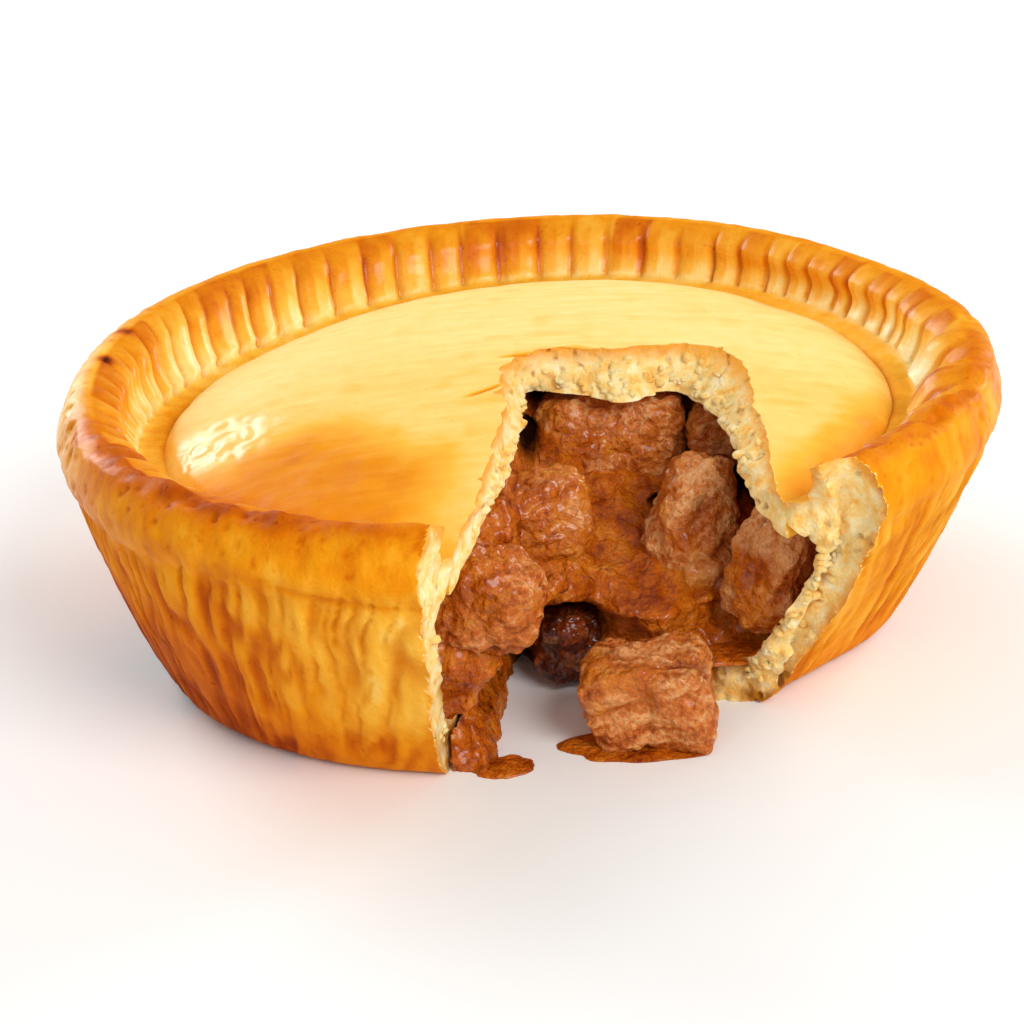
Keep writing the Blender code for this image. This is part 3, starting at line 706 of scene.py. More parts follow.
crumb, tree, shader = new_material("torn_crumb", Roughness=0.8, Subsurface_Weight=0.15,
                                   Subsurface_Scale=0.002, Specular_IOR_Level=0.03)
grainy = sums(tree, "MULTIPLY_ADD", speckle(tree, 0.8, 4.0), 0.5, speckle(tree, 2.4, 3.0))
dough_inside = shades(tree, grainy, ((0.44, "F4A442"), (0.58, "FFC668"), (0.76, "FFDE92"), (1.0, "FFF0C4")))
skin = spread(tree, value_of(tree, "depth"), 0.15, 2.0, 0.9, 0.0)
edged = blend(tree, skin, dough_inside, colour("F0A030"))
# The crumb's pits are painted darker as shade
pit_shade = blend(tree, sums(tree, "MULTIPLY", value_of(tree, "crease"), 0.75), edged, colour("B06412"))
stains = spread(tree, speckle(tree, 3.2, 3.0), 0.35, 0.62, 0.15, 1.0)
soaked = sums(tree, "MULTIPLY", value_of(tree, "wet"), stains)
tree.links.new(blend(tree, soaked, pit_shade, colour("B06E1C")), shader["Base Color"])
grit = sums(tree, "ADD", speckle(tree, 0.45, 4.0), speckle(tree, 1.2, 3.0))
tree.links.new(bump(tree, grit, 0.28), shader["Normal"])

baked_case.data.materials.append(crust)
baked_case.data.materials.append(crumb)
combine(baked_case, "DIFFERENCE", missing_crust("missing_crust", lowest=TEAR_HEIGHTS[0], grow=0.0))
keep_largest(baked_case)
crisp_borders(baked_case)
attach(baked_case, "root")
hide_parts("pastry_case")


# Crumbs: where the crust was pulled apart by hand, small lumps of the same dough still hang on the broken
# faces, most of them along the lid's lower edge and the wall's inner edge at the right.
CRUMB_SIZE = (0.45, 1.25)
LID_EDGE_SHARE, WALL_EDGE_SHARE, FACE_SHARE = 0.06, 0.016, 0.012


def scattered(points, share, seed):
    """Picks about this share of a grid's points, by a fixed pseudo-random number for each."""
    rows, columns = points.shape[:2]
    place = np.stack(np.broadcast_arrays(np.arange(rows)[:, None], np.arange(columns), 0), axis=-1)
    return lattice(place, seed) > 1 - 2 * share


def lumps(centres, sizes, seed):
    """Small rounded lumps: each is the same ball of few faces, squashed by its own three sizes and dented
    by noise that reads the place of each point."""
    ball = bmesh.new()
    bmesh.ops.create_icosphere(ball, subdivisions=2, radius=1.0)
    corners = np.array([corner.co for corner in ball.verts])
    faces = np.array([[corner.index for corner in face.verts] for face in ball.faces])
    ball.free()
    ball_points = centres[:, None] + corners * sizes[:, None]
    dents = 0.45 * noise(ball_points, 0.9, seed) + 0.2 * noise(ball_points, 0.45, seed + 1)
    ball_points = ball_points + corners * sizes[:, None] * dents[..., None]
    starts = len(corners) * np.arange(len(centres))[:, None, None]
    return ball_points.reshape(-1, 3), (starts + faces).reshape(-1, 3)


face_points, face_out = torn_face(lowest=4.0, grow=0.0, highest=42.0)
crust_depth = under_skin(face_points)
in_lid = (np.hypot(face_points[..., 0], face_points[..., 1]) < 47) & (crust_depth < LID_THICKNESS - 0.6)
past_wall = past_inner_wall(face_points)
in_wall = (past_wall > 0.2) & (crust_depth > 0) & (face_points[..., 2] < 33)
lid_edge_below = in_lid & (crust_depth > LID_THICKNESS - 2.4)
wall_edge_inside = in_wall & (past_wall < 1.6) & (face_points[..., 0] > 0)
picked = scattered(face_points, LID_EDGE_SHARE, 351) & lid_edge_below
picked = picked | scattered(face_points, WALL_EDGE_SHARE, 350) & wall_edge_inside
picked = picked | scattered(face_points, FACE_SHARE, 352) & (in_lid | in_wall) & (crust_depth > 1.5)
spots = face_points[picked]
chance = np.stack([lattice(np.round(spots * 10), 353 + k) for k in range(3)], axis=-1)
crumb_sizes = CRUMB_SIZE[0] + (CRUMB_SIZE[1] - CRUMB_SIZE[0]) * (0.5 + 0.5 * chance) ** 2 * (1, 1, 0.8)
spots[:, :2] += face_out[picked] * 0.4
crumb_points, crumb_faces = lumps(spots, crumb_sizes, 357)
crumbs = piece("hanging_crumbs", crumb_points, crumb_faces, depth=3.0, crease=0.0, wet=0.15)
crumbs.data.materials.append(crumb)
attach(crumbs, "root")


# The lid: a sheet of the same dough rolled thinner, laid over the filling and pressed into the rim, brushed
# with egg in strokes from side to side; it bakes pale, with golden and glossy patches where egg pooled.
LID_COLUMNS, LID_RINGS, LID_EDGE_RINGS, LID_SIDE_ROWS, LID_UNDER_ROWS = 560, 118, 16, 6, 12
LID_SWELL, LID_SWELL_SIZE = 0.45, 22.0
LID_SUNK_HEIGHT, LID_SIDE_OVERLAP, LID_LIP_GAP = 33.0, 1.5, 1.4
# Patches in plan: middle, half width, half depth and turn in degrees
GLOSSY_PATCHES = ((-42.8, -16.5, 6.6, 8.0, 62.0),)
BROWN_MARKS = ((-5.0, -13.9, 3.0, 0.5, 32.0), (9.6, -2.0, 3.4, 1.7, -50.0), (1.0, -1.5, 3.2, 0.5, 8.0))


def patches(points, spots, soft):
    """1 inside any of these ellipses and 0 outside, with ragged borders as wide as soft."""
    ragged = 0.35 * rough(points, 6.0, 251)
    covered = np.zeros(points.shape[:-1])
    for x, y, wide, deep, turn in spots:
        c, s = np.cos(np.radians(turn)), np.sin(np.radians(turn))
        dx, dy = points[..., 0] - x, points[..., 1] - y
        reach = np.hypot((dx * c + dy * s) / wide, (dy * c - dx * s) / deep) + ragged
        covered = np.maximum(covered, ramp(-reach, -1 - soft / 2, -1 + soft / 2))
    return covered


lid_turn = np.linspace(-180, 180, LID_COLUMNS, endpoint=False)
lid_edge = LID_RADIUS - groove_inset(lid_turn)
over = np.concatenate([np.linspace(1.03, 0.95, LID_EDGE_RINGS, endpoint=False),
                       np.linspace(0.95, 0.02, LID_RINGS)])[:, None]
under = np.linspace(0.02, 1.02, LID_UNDER_ROWS)[:, None]
side = np.linspace(0.0, 1.0, LID_SIDE_ROWS, endpoint=False)[:, None]
under_edge = LIP_HEIGHT + LID_LIP_GAP
sunk_edge = LID_SUNK_HEIGHT - 0.2 * groove_inset(lid_turn)
under_height = np.maximum(lid_top(lid_turn, lid_edge * under) - LID_THICKNESS, under_edge)
over_height = lid_top(lid_turn, lid_edge * np.minimum(over, 0.992))
over_height = over_height + (sunk_edge - over_height) * ramp(over, 0.985, 1.03)
lid_out = np.concatenate([lid_edge * under, lid_edge + 0 * side + LID_SIDE_OVERLAP, lid_edge * over])
lid_height = np.concatenate([under_height, under_edge + (sunk_edge - under_edge) * side, over_height])
is_top = np.concatenate([0 * under, 0 * side, ramp(-over, -1.02, -0.99)])
lid_points = around(lid_turn, lid_out, lid_height)
feathered = lid_out + 3.2 * rough(lid_points, 7.0, 252)
golden = ramp(feathered, 26, 41) * ramp(near(lid_turn, -37, 26), 0.25, 0.8)
golden = np.maximum(golden, 0.55 * ramp(feathered, 45, 51) * ramp(near(lid_turn, 58, 20), 0.2, 0.8))
pooled = patches(lid_points, GLOSSY_PATCHES, 0.6)
marks = patches(lid_points, BROWN_MARKS, 1.0)
swell = LID_SWELL * noise(lid_points, LID_SWELL_SIZE, 41) * np.clip((lid_edge - lid_out) / 6.0, 0, 1)
brushed = noise(lid_points * (0.12, 1.0, 0.2), 1.15, 261)
brushed = brushed + 0.6 * noise(lid_points * (0.16, 1.0, 0.2), 0.6, 262)
shrunk = cracks(lid_points * (1.0, 0.7, 1.0), 2.4, 0.25, 263) + 0.5 * noise(lid_points, 1.3, 268)
folds = ramp(lid_points[..., 0], 22, 32) * ramp(-lid_out, -54, -49)
folds = folds * noise(lid_points * (1.0, 0.5, 1.0), 4.5, 264)
edge_lumps = ramp(lid_out, 44, 50) * noise(lid_points, 5.0, 265)
lid_relief = swell + is_top * (
    0.035 * brushed - 0.28 * shrunk * pooled + 0.14 * noise(lid_points, 2.4, 266) * golden
    + 0.40 * folds + 0.22 * edge_lumps + 0.06 * noise(lid_points, 3.0, 267) - 0.35 * marks)
lid_points[..., 2] += lid_relief
# The glossy patch is painted a touch paler as a highlight
lid_bake = 0.12 + 0.035 * rough(lid_points, 14.0, 271) + 0.018 * brushed + 0.28 * golden - 0.02 * pooled
lid_bake = lid_bake + 0.02 + 0.07 * ramp(-lid_points[..., 1], -8, 14) + 0.06 * ramp(lid_out, 49.0, 52.0)
lid_bake = lid_bake + 0.34 * marks + 0.04 * ramp(noise(lid_points, 3.5, 272), 0.2, 0.8)
lid_gloss = np.clip(0.10 - 0.10 * golden + 0.55 * pooled + 0.08 * brushed, 0, 1)
baked_lid = turned_piece("baked_lid", lid_points, known=np.ones_like(lid_bake), bake=lid_bake,
                         glaze=lid_gloss * is_top)

lid_skin, tree, shader = new_material("brushed_lid", Subsurface_Weight=0.08, Subsurface_Scale=0.002,
                                      Coat_Roughness=0.2, Specular_IOR_Level=0.05)
dough = place_group(tree, baked_dough, {"Bake": value_of(tree, "bake"), "Mottle": 0.10})
tree.links.new(dough["Colour"], shader["Base Color"])
tree.links.new(spread(tree, value_of(tree, "glaze"), 0.0, 1.0, 0.50, 0.30), shader["Roughness"])
tree.links.new(spread(tree, value_of(tree, "glaze"), 0.05, 1.0, 0.0, 0.8), shader["Coat Weight"])
strokes = speckle(tree, 0.9, 3.0, (0.1, 1.0, 0.3))
tree.links.new(bump(tree, sums(tree, "MULTIPLY_ADD", dough["Grain"], 0.6, strokes), 0.10), shader["Normal"])

baked_lid.data.materials.append(lid_skin)
baked_lid.data.materials.append(crumb)
combine(baked_lid, "DIFFERENCE", missing_crust("missing_lid", lowest=20.0, grow=0.03))
keep_largest(baked_lid)
crisp_borders(baked_lid)
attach(baked_lid, "root")
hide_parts("pastry_lid")


# The filling: diced beef stewed in a thick, glossy caramel-brown gravy that fills the pastry and has
# slumped a little out of the break, leaving hollows between the larger pieces, painted dark as shade.
CRUST_GAP, BLOCK_HALF, ROOM_COLUMNS = 0.35, 70.0, 96
HIDDEN_LEFT, HIDDEN_RIGHT = -16.0, 39.0
FILLING_STEP = 0.34
# The filling's front at these heights, in columns from left to right: x and then y at each height
FRONT_HEIGHTS = (0.0, 5.5, 13.0, 17.0, 20.5, 29.0, 37.0)
FRONT_DEPTHS = (
    (-11.5, (-47, -46.5, -46, -45, -44, -41, -38)),
    (-4.5, (-49.5, -44, -41.5, -40, -39, -32, -14)),
    (1.0, (-16, -18, -24, -27, -27, -12, 12)),
    (5.0, (-20, -20, -26, -27, -25, -3, 12)),
    (9.0, (-27, -25, -26, -21, -14, 4, 14)),
    (20.0, (-27, -30.5, -27, -19, -8, 5, 14)),
    (34.0, (-27, -27, -25, -22, -19, -9, 4)),
)
# Lumps that stand out and hollows that go in: x and height, half width, half height and how far
LUMPS = (
    (5.5, 17.0, 5.5, 3.4, 5.0), (14.5, 14.0, 6.5, 3.2, 5.0), (19.5, 15.2, 2.6, 2.0, 2.5),
    (-3.5, 30.0, 3.6, 3.0, 2.5), (2.6, 27.0, 3.2, 2.2, 2.0), (9.0, 21.5, 3.4, 2.6, 2.2),
    (-8.5, 14.5, 3.4, 3.6, 1.6), (16.5, 11.0, 3.0, 2.2, 2.2), (-1.5, 26.0, 2.4, 1.2, -3.0),
    (8.5, 34.0, 4.0, 1.3, -7.0), (24.5, 31.5, 3.4, 3.0, -14.0), (29.0, 24.0, 2.8, 2.2, -10.0),
    (33.5, 22.0, 3.0, 2.4, -10.0), (4.5, 10.5, 4.2, 2.6, -14.0), (27.0, 10.5, 3.0, 2.6, -4.0),
    (-0.6, 15.5, 1.6, 2.4, -8.0), (0.5, 32.5, 2.4, 4.0, -10.0), (13.5, 24.5, 2.2, 1.6, 1.5),
    (6.5, 30.5, 1.6, 1.6, -3.0))
# The right side of the left column of gravy at several heights, as a shift from its middle place
COLUMN_HEIGHTS, COLUMN_SHIFTS = (0, 3, 6, 9, 12, 16, 20, 27), (-3.8, -4.2, -6.0, -5.2, -2.5, -1.5, -0.6, 1.2)
# Hollows between the pieces, dented and painted dark as shade: x and height on an upright plane, half width
# and half height. They run on behind the plane and sink as the line of sight from the front does.
HOLLOW_PLANE, HOLLOW_FALL, HOLLOW_DEPTH = -20.0, 0.488, 4.0
HOLLOWS = (
    (0.5, 37.2, 1.6, 3.6), (3.8, 44.2, 2.6, 1.8), (11.3, 41.0, 5.0, 1.6), (21.1, 39.4, 3.6, 3.4),
    (23.4, 33.0, 3.0, 2.6), (29.9, 27.1, 1.8, 4.2), (33.6, 26.6, 2.6, 3.0), (4.6, 8.4, 3.2, 2.0),
    (-2.5, 8.7, 1.6, 1.6), (-1.1, 3.4, 2.2, 2.2), (19.5, 25.4, 1.8, 1.8))


def in_hollow(points):
    """1 in the middle of one of the filling's hollows, which are painted dark as shade, falling to 0 at their
    ragged border.
    """
    x, height = points[..., 0], points[..., 2] + HOLLOW_FALL * (points[..., 1] - HOLLOW_PLANE)
    reach = [np.hypot((x - across) / wide, (height - up) / tall) for across, up, wide, tall in HOLLOWS]
    return ramp(-np.min(reach, axis=0) - 0.3 * rough(points, 3.0, 371), -1.25, -0.7)


def grains(points, size, seed):
    """Rounded grains packed side by side with creases between them, 1 at a grain's top and 0 in a crease."""
    return np.clip(1 - (specks(points, size, seed) / 0.62) ** 2, 0, 1)


def stewed_relief(points, seed):
    """The surface of stewed meat under gravy: soft lumps, packed grains and fine grit."""
    swayed = points + 0.5 * np.stack([noise(points, 2.5, seed + k) for k in range(3)], axis=-1)
    return (0.50 * noise(points, 3.4, seed + 4) + 0.60 * grains(swayed, 3.1, seed + 5) - 0.35
            + 0.34 * grains(swayed, 1.5, seed + 8) + 0.14 * noise(points, 0.8, seed + 11))


def filling_front(x, z):
    """y of the filling's front for each x and height: depths blended between the columns above, with lumps
    and hollows as bell curves; behind the standing crust it reaches the wall."""
    depths = np.stack([np.interp(z, FRONT_HEIGHTS, column) for _, column in FRONT_DEPTHS])
    places = [place for place, _ in FRONT_DEPTHS]
    moved = x - np.interp(z, COLUMN_HEIGHTS, COLUMN_SHIFTS) * ramp(-x, -7, -3)
    front = depths[0] * np.ones_like(x)
    for low, high, depth in zip(places, places[1:], depths[1:]):
        front = front + (depth - front) * ramp(moved, low, high)
    at = np.stack([x, 0 * x, z], axis=-1)
    front = front + 1.5 * noise(at, 7.0, 51) + 0.7 * noise(at, 3.5, 52)
    for across, up, wide, tall, out in LUMPS:
        front = front - out * np.exp(-(((x - across) / wide) ** 2 + ((z - up) / tall) ** 2))
    hidden = np.maximum(ramp(-x, -HIDDEN_LEFT, -HIDDEN_LEFT + 4), ramp(x, HIDDEN_RIGHT, HIDDEN_RIGHT + 4))
    return front * (1 - hidden) - BLOCK_HALF * hidden


# Columns stand closer where the front turns back beside the left column
across = np.concatenate([[-BLOCK_HALF], np.arange(HIDDEN_LEFT - 5, -10, 0.4), np.arange(-10, 2, 0.11),
                         np.arange(2, 10, 0.2), np.arange(10, HIDDEN_RIGHT + 5, FILLING_STEP), [BLOCK_HALF]])
up = np.arange(-3.0, 44.0, FILLING_STEP)
x, z = np.meshgrid(across, up)
front = np.stack([x, filling_front(x, z), z], axis=-1)
outward = unit(np.cross(np.gradient(front, axis=1), np.gradient(front, axis=0)))
seen = ramp(np.minimum(x - HIDDEN_LEFT, HIDDEN_RIGHT - x), -3, 0)
front = front + outward * (seen * stewed_relief(front, 281))[..., None]
shadowed = in_hollow(front)
front[..., 1] += HOLLOW_DEPTH * shadowed * seen
back = np.stack([x, np.full_like(x, BLOCK_HALF), z], axis=-1)
rows, columns = x.shape
sheet_quads = grid_quads(rows, columns)
sheet_quads = sheet_quads[np.arange(len(sheet_quads)) % columns != columns - 1]
border = np.concatenate([np.arange(columns), columns * np.arange(1, rows) + columns - 1,
                         rows * columns - 1 - np.arange(1, columns), columns * np.arange(rows - 2, 0, -1)])
beside = np.roll(border, -1)
count = rows * columns
behind = count + np.arange(len(border))
rim_quads = np.stack([beside, border, behind, np.roll(behind, -1)], axis=-1)
block_points = np.concatenate([front.reshape(-1, 3), back.reshape(-1, 3)[border]])
stew = piece("gravy_filling", block_points, np.concatenate([sheet_quads, rim_quads]),
             [range(count, count + len(border))], known=1.0,
             hollow=np.concatenate([shadowed.reshape(-1), np.zeros(len(border))]))

# The room that it fills: inside the wall, over the floor and under the lid, and out through the break
room_turn = np.linspace(-180, 180, ROOM_COLUMNS, endpoint=False)
inside = WALL_THICKNESS - 0.3
roof_edge = LID_RADIUS - groove_inset(room_turn)
room_rows = [(wall_radius(room_turn, 6) - inside - 2.4, FLOOR_THICKNESS + CRUST_GAP)]
room_rows += [(wall_radius(room_turn, z) - inside - 0.4, z) for z in (8.4, 17.0, LIP_HEIGHT - 0.6)]
for share in (1.0, 0.91, 0.82, 0.73, 0.64, 0.45, 0.26, 0.08):
    roof = np.maximum(lid_top(room_turn, roof_edge * share) - LID_THICKNESS, under_edge)
    room_rows.append((roof_edge * share, roof - CRUST_GAP - 0.25))
room_points = np.stack([around(room_turn, out, high) for out, high in room_rows])
room = turned_piece("room_inside", room_points, known=np.ones(room_points.shape[:2]))
floor_gap = missing_crust("floor_gap", lowest=0.0, grow=-0.6, highest=FLOOR_THICKNESS + 2.0)
combine(room, "UNION", floor_gap)
combine(stew, "INTERSECT", room)
keep_largest(stew)

# Shared by everything that the gravy wets: its colour deepens where it lies thick, with specks of meat in it
wet_gravy, taken, given = new_group(
    "wet_gravy", [("Thickness", "Float")], [("Colour", "Color"), ("Beads", "Float")])
deepened = sums(wet_gravy, "MULTIPLY", taken["Thickness"], 0.5)
clouded = sums(wet_gravy, "MULTIPLY_ADD", speckle(wet_gravy, 4.5, 5.0), 0.9, deepened)
flecks = sums(wet_gravy, "SUBTRACT", speckle(wet_gravy, 1.1, 3.0), 0.5)
clouded = sums(wet_gravy, "MULTIPLY_ADD", flecks, -0.45, clouded)
wet_gravy.links.new(shades(wet_gravy, clouded, (
    (0.26, "ECA048"), (0.42, "DC8022"), (0.58, "C8620A"), (0.78, "963A04"), (1.00, "4A1703"))),
    given["Colour"])
coarse = speckle(wet_gravy, 2.6, 2.0)
wet_gravy.links.new(sums(wet_gravy, "MULTIPLY_ADD", speckle(wet_gravy, 1.0, 4.0), 0.6, coarse),
                    given["Beads"])

gravy, tree, shader = new_material("caramel_gravy", Subsurface_Weight=0.15, Subsurface_Scale=0.002,
                                   Coat_Roughness=0.2, Specular_IOR_Level=0.05)
sauce = place_group(tree, wet_gravy, {"Thickness": 0.30})
# The hollows are painted near black as shade
tree.links.new(blend(tree, value_of(tree, "hollow"), sauce["Colour"], colour("1E0802")), shader["Base Color"])
tree.links.new(spread(tree, speckle(tree, 2.0, 3.0), 0.3, 0.7, 0.30, 0.5), shader["Roughness"])
tree.links.new(spread(tree, value_of(tree, "hollow"), 0.0, 1.0, 0.5, 0.0), shader["Coat Weight"])
beaded = sums(tree, "MULTIPLY_ADD", speckle(tree, 0.6, 3.0), 0.5, sauce["Beads"])
tree.links.new(bump(tree, beaded, 1.5), shader["Normal"])
stew.data.polygons.foreach_set("material_index", np.zeros(len(stew.data.polygons), np.int32))
stew.data.materials.clear()
stew.data.materials.append(gravy)
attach(stew, "root")
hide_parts("steak_filling")


# The beef: braised steak cut in large dice, tender enough to part along its fibres. The upper pieces are
# wrapped in gravy and shine; the one that has fallen out in front shows pinkish meat at its corners.
CHUNK_RINGS, CHUNK_COLUMNS = 126, 200
CHUNK_POLE = 0.012
CHUNK_ROUGHNESS = 0.6
# Each piece: its middle, its size, its turns about Z, X and Y in degrees, how square it is, the direction of
# its fibres in its own frame, how much gravy covers it, and how much lighter than the others it is. Full
# cover paints the low piece dark as shade, and the lighter tone is partly the meat's own and partly painted
# light that lifts the right piece out of shade
CHUNKS = {
    "steak_chunk_back": ((12.6, 3.6, 26.6), (21.5, 15, 14.4), (4, -12, 6), 4.5, (0.2, 0.1, 1), 0.45, -0.08),
    "steak_chunk_small": ((28.2, -1.5, 28), (8.4, 9, 9.4), (0, 20, 10), 2.6, (1, 0.2, 0.5), 0.40, 0.0),
    "steak_chunk_oval": ((23, -18, 19.6), (11.4, 12, 22.6), (10, -8, 12), 2.4, (0.75, 0, 0.65), 0.42, 0.03),
    "steak_chunk_right": ((33.9, -28.6, 19), (10, 11, 20), (-38, -4, 16), 3.6, (0.1, 0.1, 1), 0.42, 0.08),
    "steak_chunk_left": ((-6.9, -40, 22.2), (15.5, 12.4, 13.4), (-8, 6, 12), 3.6, (1, 0, 0.35), 0.55, -0.25),
    "steak_chunk_centre": ((1, -20.5, 24.4), (16, 12, 13), (12, -10, -8), 2.8, (1, 0.3, 0.2), 0.75, 0.0),
    "steak_chunk_low": ((4.6, -23.2, 6.1), (10, 8.6, 11.2), (8, 0, 0), 3.2, (0.2, 0, 1), 0.95, 0.0),
    "steak_chunk_spilled": ((14.8, -40.8, 6.3), (16.4, 12.6, 13.6), (-9, 4, -5), 5.5, (1, 0.1, 0.25), 0.35,
                            -0.15),
}


def turned(angles):
    """The turn of a chunk: about Z, then X, then Y, in degrees."""
    about_z, about_x, about_y = np.radians(angles)
    return np.array(Matrix.Rotation(about_z, 3, "Z") @ Matrix.Rotation(about_x, 3, "X")
                    @ Matrix.Rotation(about_y, 3, "Y"))


def beef_chunk(name, place, centre, size, angles, squareness, grain, cover, tone_and_painted_light):
    """A block with rounded corners, |x|^q + |y|^q + |z|^q = 1, roughened by two sizes of lumps and then by
    ridges drawn out along the fibres; gravy that lies in its hollows fills them again."""
    tilt = np.linspace(CHUNK_POLE, np.pi - CHUNK_POLE, CHUNK_RINGS)[:, None]
    turn = np.linspace(0, 2 * np.pi, CHUNK_COLUMNS, endpoint=False)
    level = np.sin(tilt)
    sphere = np.stack(np.broadcast_arrays(level * np.cos(turn), level * np.sin(turn), np.cos(tilt)), axis=-1)
    half = np.array(size) / 2
    block = (np.abs(sphere) ** squareness).sum(axis=-1, keepdims=True) ** (-1 / squareness)
    body = sphere * block * half
    outward = unit(sphere / half)
    along = np.array(grain) / np.linalg.norm(grain)
    drawn = body - 0.86 * (body @ along)[..., None] * along
    ridges = 1 - 2 * np.abs(noise(drawn + 0.4 * outward, 1.9, 290 + place))
    threads = noise(drawn, 0.85, 300 + place)
    clefts = cracks(drawn, 4.2, 0.10, 310 + place) * ramp(noise(body, 5.0, 320 + place), -0.2, 0.4)
    sauced = ramp(rough(body, 6.0, 330 + place) + (cover - 0.5) * 1.6, -0.35, 0.35)
    bare = 1 - 0.6 * sauced
    relief = 0.075 * min(size) * noise(sphere * half, 6.5, 60 + place)
    relief = relief + CHUNK_ROUGHNESS * noise(sphere * half, 3.0, 80 + place)
    relief = relief + bare * (0.26 * ridges + 0.15 * threads - 0.7 * clefts) + 0.12 * sauced
    relief = relief + 0.95 * stewed_relief(body + outward * relief[..., None], 400 + 20 * place)
    relief = relief + 0.22 * noise(drawn * 0.7, 0.9, 340 + place)
    world = (body + outward * relief[..., None]) @ turned(angles).T + centre
    world[..., 2] = np.maximum(world[..., 2], 0.0)
    # The tone number lifts the right piece as painted light; the soaked mark on the low piece paints it dark
    # as shade
    return turned_piece(name, world, sauced=sauced, thread=0.5 + tone_and_painted_light + 0.3 * ridges + 0.3 * threads,
                        cleft=clefts * bare, soaked=np.full_like(sauced, ramp(cover, 0.8, 0.95)))


meat, tree, shader = new_material("braised_beef", Subsurface_Weight=0.15, Subsurface_Scale=0.002,
                                  Coat_Roughness=0.2, Specular_IOR_Level=0.06)
# The low piece's soaked mark deepens its gravy colour as painted shade
thickness = sums(tree, "MULTIPLY_ADD", value_of(tree, "soaked"), 0.85, 0.16)
sauce = place_group(tree, wet_gravy, {"Thickness": thickness})
threads = sums(tree, "MULTIPLY", value_of(tree, "thread"), 0.5)
threads = sums(tree, "MULTIPLY_ADD", speckle(tree, 0.7, 5.0), 0.7, threads)
flesh = shades(tree, threads, ((0.30, "84320C"), (0.44, "B85818"), (0.58, "D67832"), (0.76, "EEAA6A")))
# Clefts between the fibres are painted darker as shade
flesh = blend(tree, sums(tree, "MULTIPLY", value_of(tree, "cleft"), 0.4), flesh, colour("5E220C"))
wetness = spread(tree, sums(tree, "ADD", value_of(tree, "sauced"), speckle(tree, 1.6, 4.0)), 0.7, 1.5)
tree.links.new(blend(tree, wetness, flesh, sauce["Colour"]), shader["Base Color"])
tree.links.new(spread(tree, wetness, 0.0, 1.0, 0.5, 0.34), shader["Roughness"])
tree.links.new(spread(tree, wetness, 0.0, 1.0, 0.35, 0.65), shader["Coat Weight"])
beaded = sums(tree, "MULTIPLY_ADD", speckle(tree, 0.7, 4.0), 0.8, sauce["Beads"])
tree.links.new(bump(tree, beaded, 1.3), shader["Normal"])

for place, (name, shape) in enumerate(CHUNKS.items()):
    chunk = beef_chunk(name.replace("steak", "braised"), place, *shape)
    chunk.data.materials.append(meat)
    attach(chunk, "root")
    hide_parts(name)


# The gravy that has run out: a thin pool round the fallen piece, another at the foot of the left piece, a
# third on the floor of the case at the right, and a strand that hangs from the middle of the filling to the
# left. Each pool: its middle, its half width and depth, its turn in degrees, its height and its ground.
POOLS = {
    "gravy_pool_right": ((12.6, -43.6), (10.0, 4.2), -4.0, 0.45, 0.0),
    "gravy_pool_left": ((-5.6, -47.2), (4.2, 2.8), 10.0, 0.7, 0.0),
    "gravy_on_crust": ((27.6, -30.0), (6.4, 3.0), 8.0, 0.9, FLOOR_THICKNESS),
}
POOL_RINGS, POOL_COLUMNS, POOL_EDGE, POOL_CLEARANCE = 46, 180, 0.15, 0.02
STRAND = ((3.2, -33.5, 20.4), (1.4, -37.5, 20.4), (-0.6, -41.5, 20.4), (-2.4, -43.5, 19.6),
          (-4.2, -44.5, 18.3))
STRAND_RADIUS, STRAND_RINGS, STRAND_COLUMNS = 0.95, 60, 40


def gravy_pool(name, middle, half, turn, depth, ground):
    """A shallow pool: its top is a dome whose edge wavers, steep at the border and flat over the middle."""
    inward = np.linspace(1.0, 0.0004, POOL_RINGS)
    dome = POOL_EDGE + (1 - POOL_EDGE) * (1 - inward ** 2.0) ** 0.5
    share = np.concatenate([[1.0, 1.0], np.sqrt(inward)])[:, None]
    raised = np.concatenate([[0.0, POOL_EDGE], dome])[:, None]
    way = np.linspace(0, 2 * np.pi, POOL_COLUMNS, endpoint=False)
    waver = np.stack([6 * np.cos(way), 6 * np.sin(way), 0 * way + half[0]], axis=-1)
    reach = share * (1 + 0.22 * noise(waver, 4.0, 341) + 0.12 * noise(waver, 1.6, 342))
    c, s = np.cos(np.radians(turn)), np.sin(np.radians(turn))
    dx, dy = reach * half[0] * np.cos(way), reach * half[1] * np.sin(way)
    flat = np.stack([middle[0] + dx * c - dy * s, middle[1] + dx * s + dy * c, 0 * dx], axis=-1)
    lumpy = 0.35 * noise(flat, 3.0, 343) + 0.9 * grains(flat * (1, 1, 0), 1.9, 344) * noise(flat, 5.0, 347)
    flat[..., 2] = ground + POOL_CLEARANCE + raised * depth * np.maximum(1 + lumpy, 0.3)
    flat[0, :, 2] = ground + POOL_CLEARANCE
    return turned_piece(name, flat)


def gravy_strand(name):
    """A string of thick gravy: a circle carried along a smooth path, thicker at its ends and lumpy."""
    path = smooth_path(np.array(STRAND), STRAND_RINGS)[:, None]
    ahead = unit(np.gradient(path, axis=0))
    beside = unit(np.cross(ahead, (0.0, 0.0, 1.0)))
    above = np.cross(beside, ahead)
    way = np.linspace(0, 2 * np.pi, STRAND_COLUMNS, endpoint=False)[:, None]
    ring = np.cos(way) * beside + np.sin(way) * above
    thick = STRAND_RADIUS * (1 + 0.6 * np.linspace(-1, 1, STRAND_RINGS)[:, None, None] ** 4)
    tube = path + ring * thick
    return turned_piece(name, tube + ring * (0.35 * stewed_relief(tube, 361))[..., None])


run_out = [gravy_pool(name, *shape) for name, shape in POOLS.items()] + [gravy_strand("gravy_strand")]
for drip in run_out:
    drip.data.materials.append(gravy)
    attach(drip, "root")


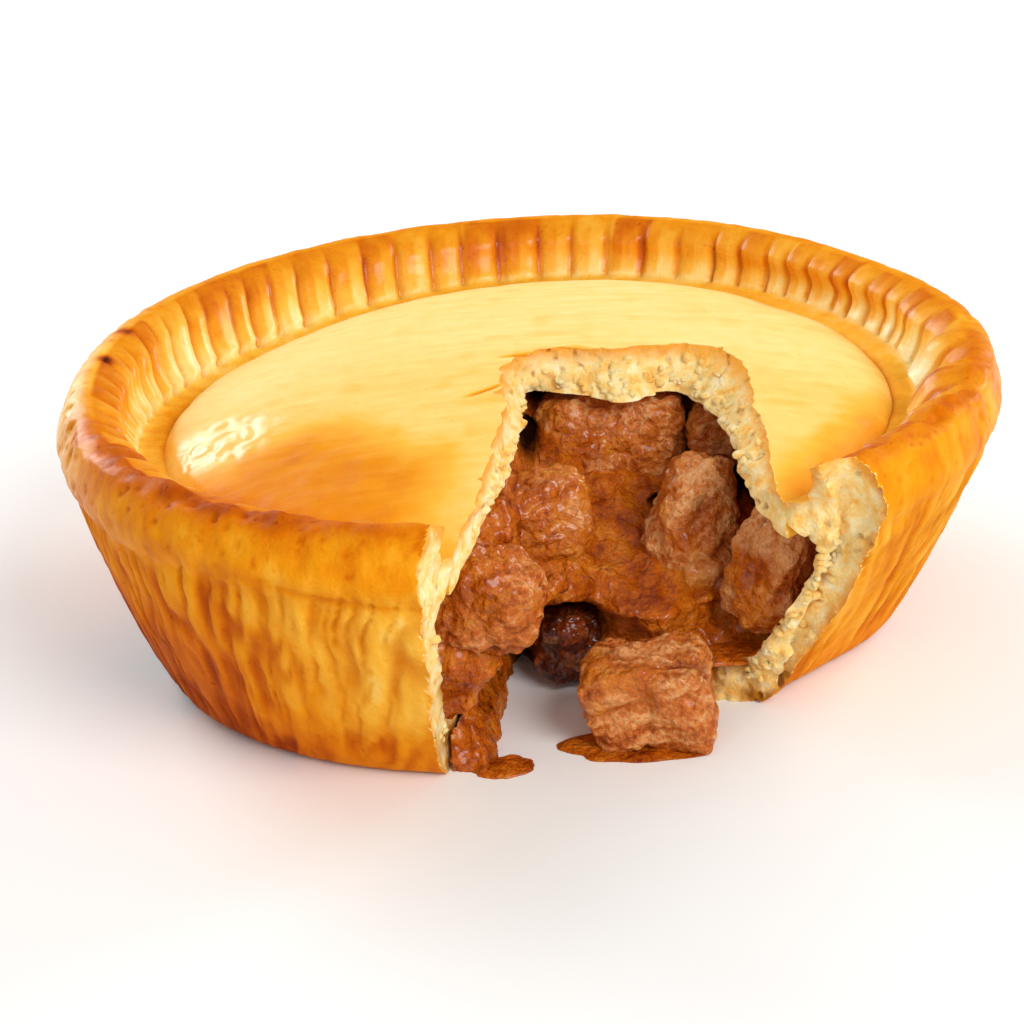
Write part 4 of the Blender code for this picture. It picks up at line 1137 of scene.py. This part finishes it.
# The setting: a plain pale floor, a large soft light over the front and others that graze the rim.
FLOOR_HALF, AMBIENT_STRENGTH = 1.2, 0.40
floor_mesh = bpy.data.meshes.new("floor")
floor_mesh.from_pydata([(FLOOR_HALF * across, FLOOR_HALF * deep, 0)
                        for across, deep in ((-1, -1), (1, -1), (1, 1), (-1, 1))], [], [(0, 1, 2, 3)])
floor = bpy.data.objects.new("floor", floor_mesh)
bpy.context.scene.collection.objects.link(floor)
pale, tree, shader = new_material("pale_floor", Roughness=0.8)
shader["Base Color"].default_value = colour("F8F7F5")
floor_mesh.materials.append(pale)

world = bpy.data.worlds.new("studio")
world.use_nodes = True
world.node_tree.nodes["Background"].inputs["Color"].default_value = (1, 1, 1, 1)
world.node_tree.nodes["Background"].inputs["Strength"].default_value = AMBIENT_STRENGTH
bpy.context.scene.world = world
bpy.context.scene.view_settings.view_transform = "Standard"
# Each light: where it hangs, what it points at, how wide it is and how many watts it has
LIGHTS = {
    "front_right_softbox": ((0.34, -0.50, 0.46), (0, -0.01, 0.02), 0.40, 3.5),
    "front_left_fill": ((-0.24, -0.62, 0.34), (0, -0.02, 0.02), 0.45, 0.5),
    "back_left_softbox": ((-0.46, 0.48, 0.34), (0, 0, 0.03), 0.40, 2.6),
    "low_back_window": ((-0.36, 0.72, 0.22), (0, 0, 0.04), 0.40, 1.4),
    "back_right_softbox": ((0.52, 0.34, 0.34), (0, 0, 0.03), 0.30, 1.6),
}
for name, (at, towards, wide, strength) in LIGHTS.items():
    lamp = bpy.data.lights.new(name, "AREA")
    lamp.shape, lamp.size, lamp.energy = "DISK", wide, strength
    holder = bpy.data.objects.new(name, lamp)
    holder.location = at
    holder.rotation_euler = (Vector(towards) - Vector(at)).to_track_quat("-Z", "Y").to_euler()
    bpy.context.scene.collection.objects.link(holder)

# The camera: a short telephoto view from the front, 26 degrees above the floor and a little rolled.
# AIM_RIGHT and AIM_UP turn it away from the middle of the pie's foot, as shares of its distance.
CAMERA_ELEVATION, CAMERA_ROLL, CAMERA_DISTANCE = 26.0, -3.7, 364.8
AIM_RIGHT, AIM_UP = -0.007, 0.042
LENS = 84.375
elevation, roll = np.radians(CAMERA_ELEVATION), np.radians(CAMERA_ROLL)
towards_camera = np.array([0.0, -np.cos(elevation), np.sin(elevation)])
right = np.array([1.0, 0.0, 0.0])
upward = np.cross(right, -towards_camera)
aim = -towards_camera + AIM_RIGHT * right + AIM_UP * upward
aim /= np.linalg.norm(aim)
level = np.cross(aim, upward)
level /= np.linalg.norm(level)
plumb = np.cross(level, aim)
image_right = np.cos(roll) * level + np.sin(roll) * plumb
image_up = -np.sin(roll) * level + np.cos(roll) * plumb
camera_data = bpy.data.cameras.new("photo_view")
camera_data.lens, camera_data.sensor_width = LENS, 36.0
camera_data.clip_start, camera_data.clip_end = 0.01, 10.0
camera = bpy.data.objects.new("photo_view", camera_data)
bpy.context.scene.collection.objects.link(camera)
turn_to_view = np.column_stack([image_right, image_up, -aim])
at = Vector(((towards_camera * CAMERA_DISTANCE + CENTRE) * MM).tolist())
camera.matrix_world = Matrix.LocRotScale(at, Matrix(turn_to_view.tolist()).to_quaternion(), None)
bpy.context.scene.camera = camera

bpy.context.view_layer.update()
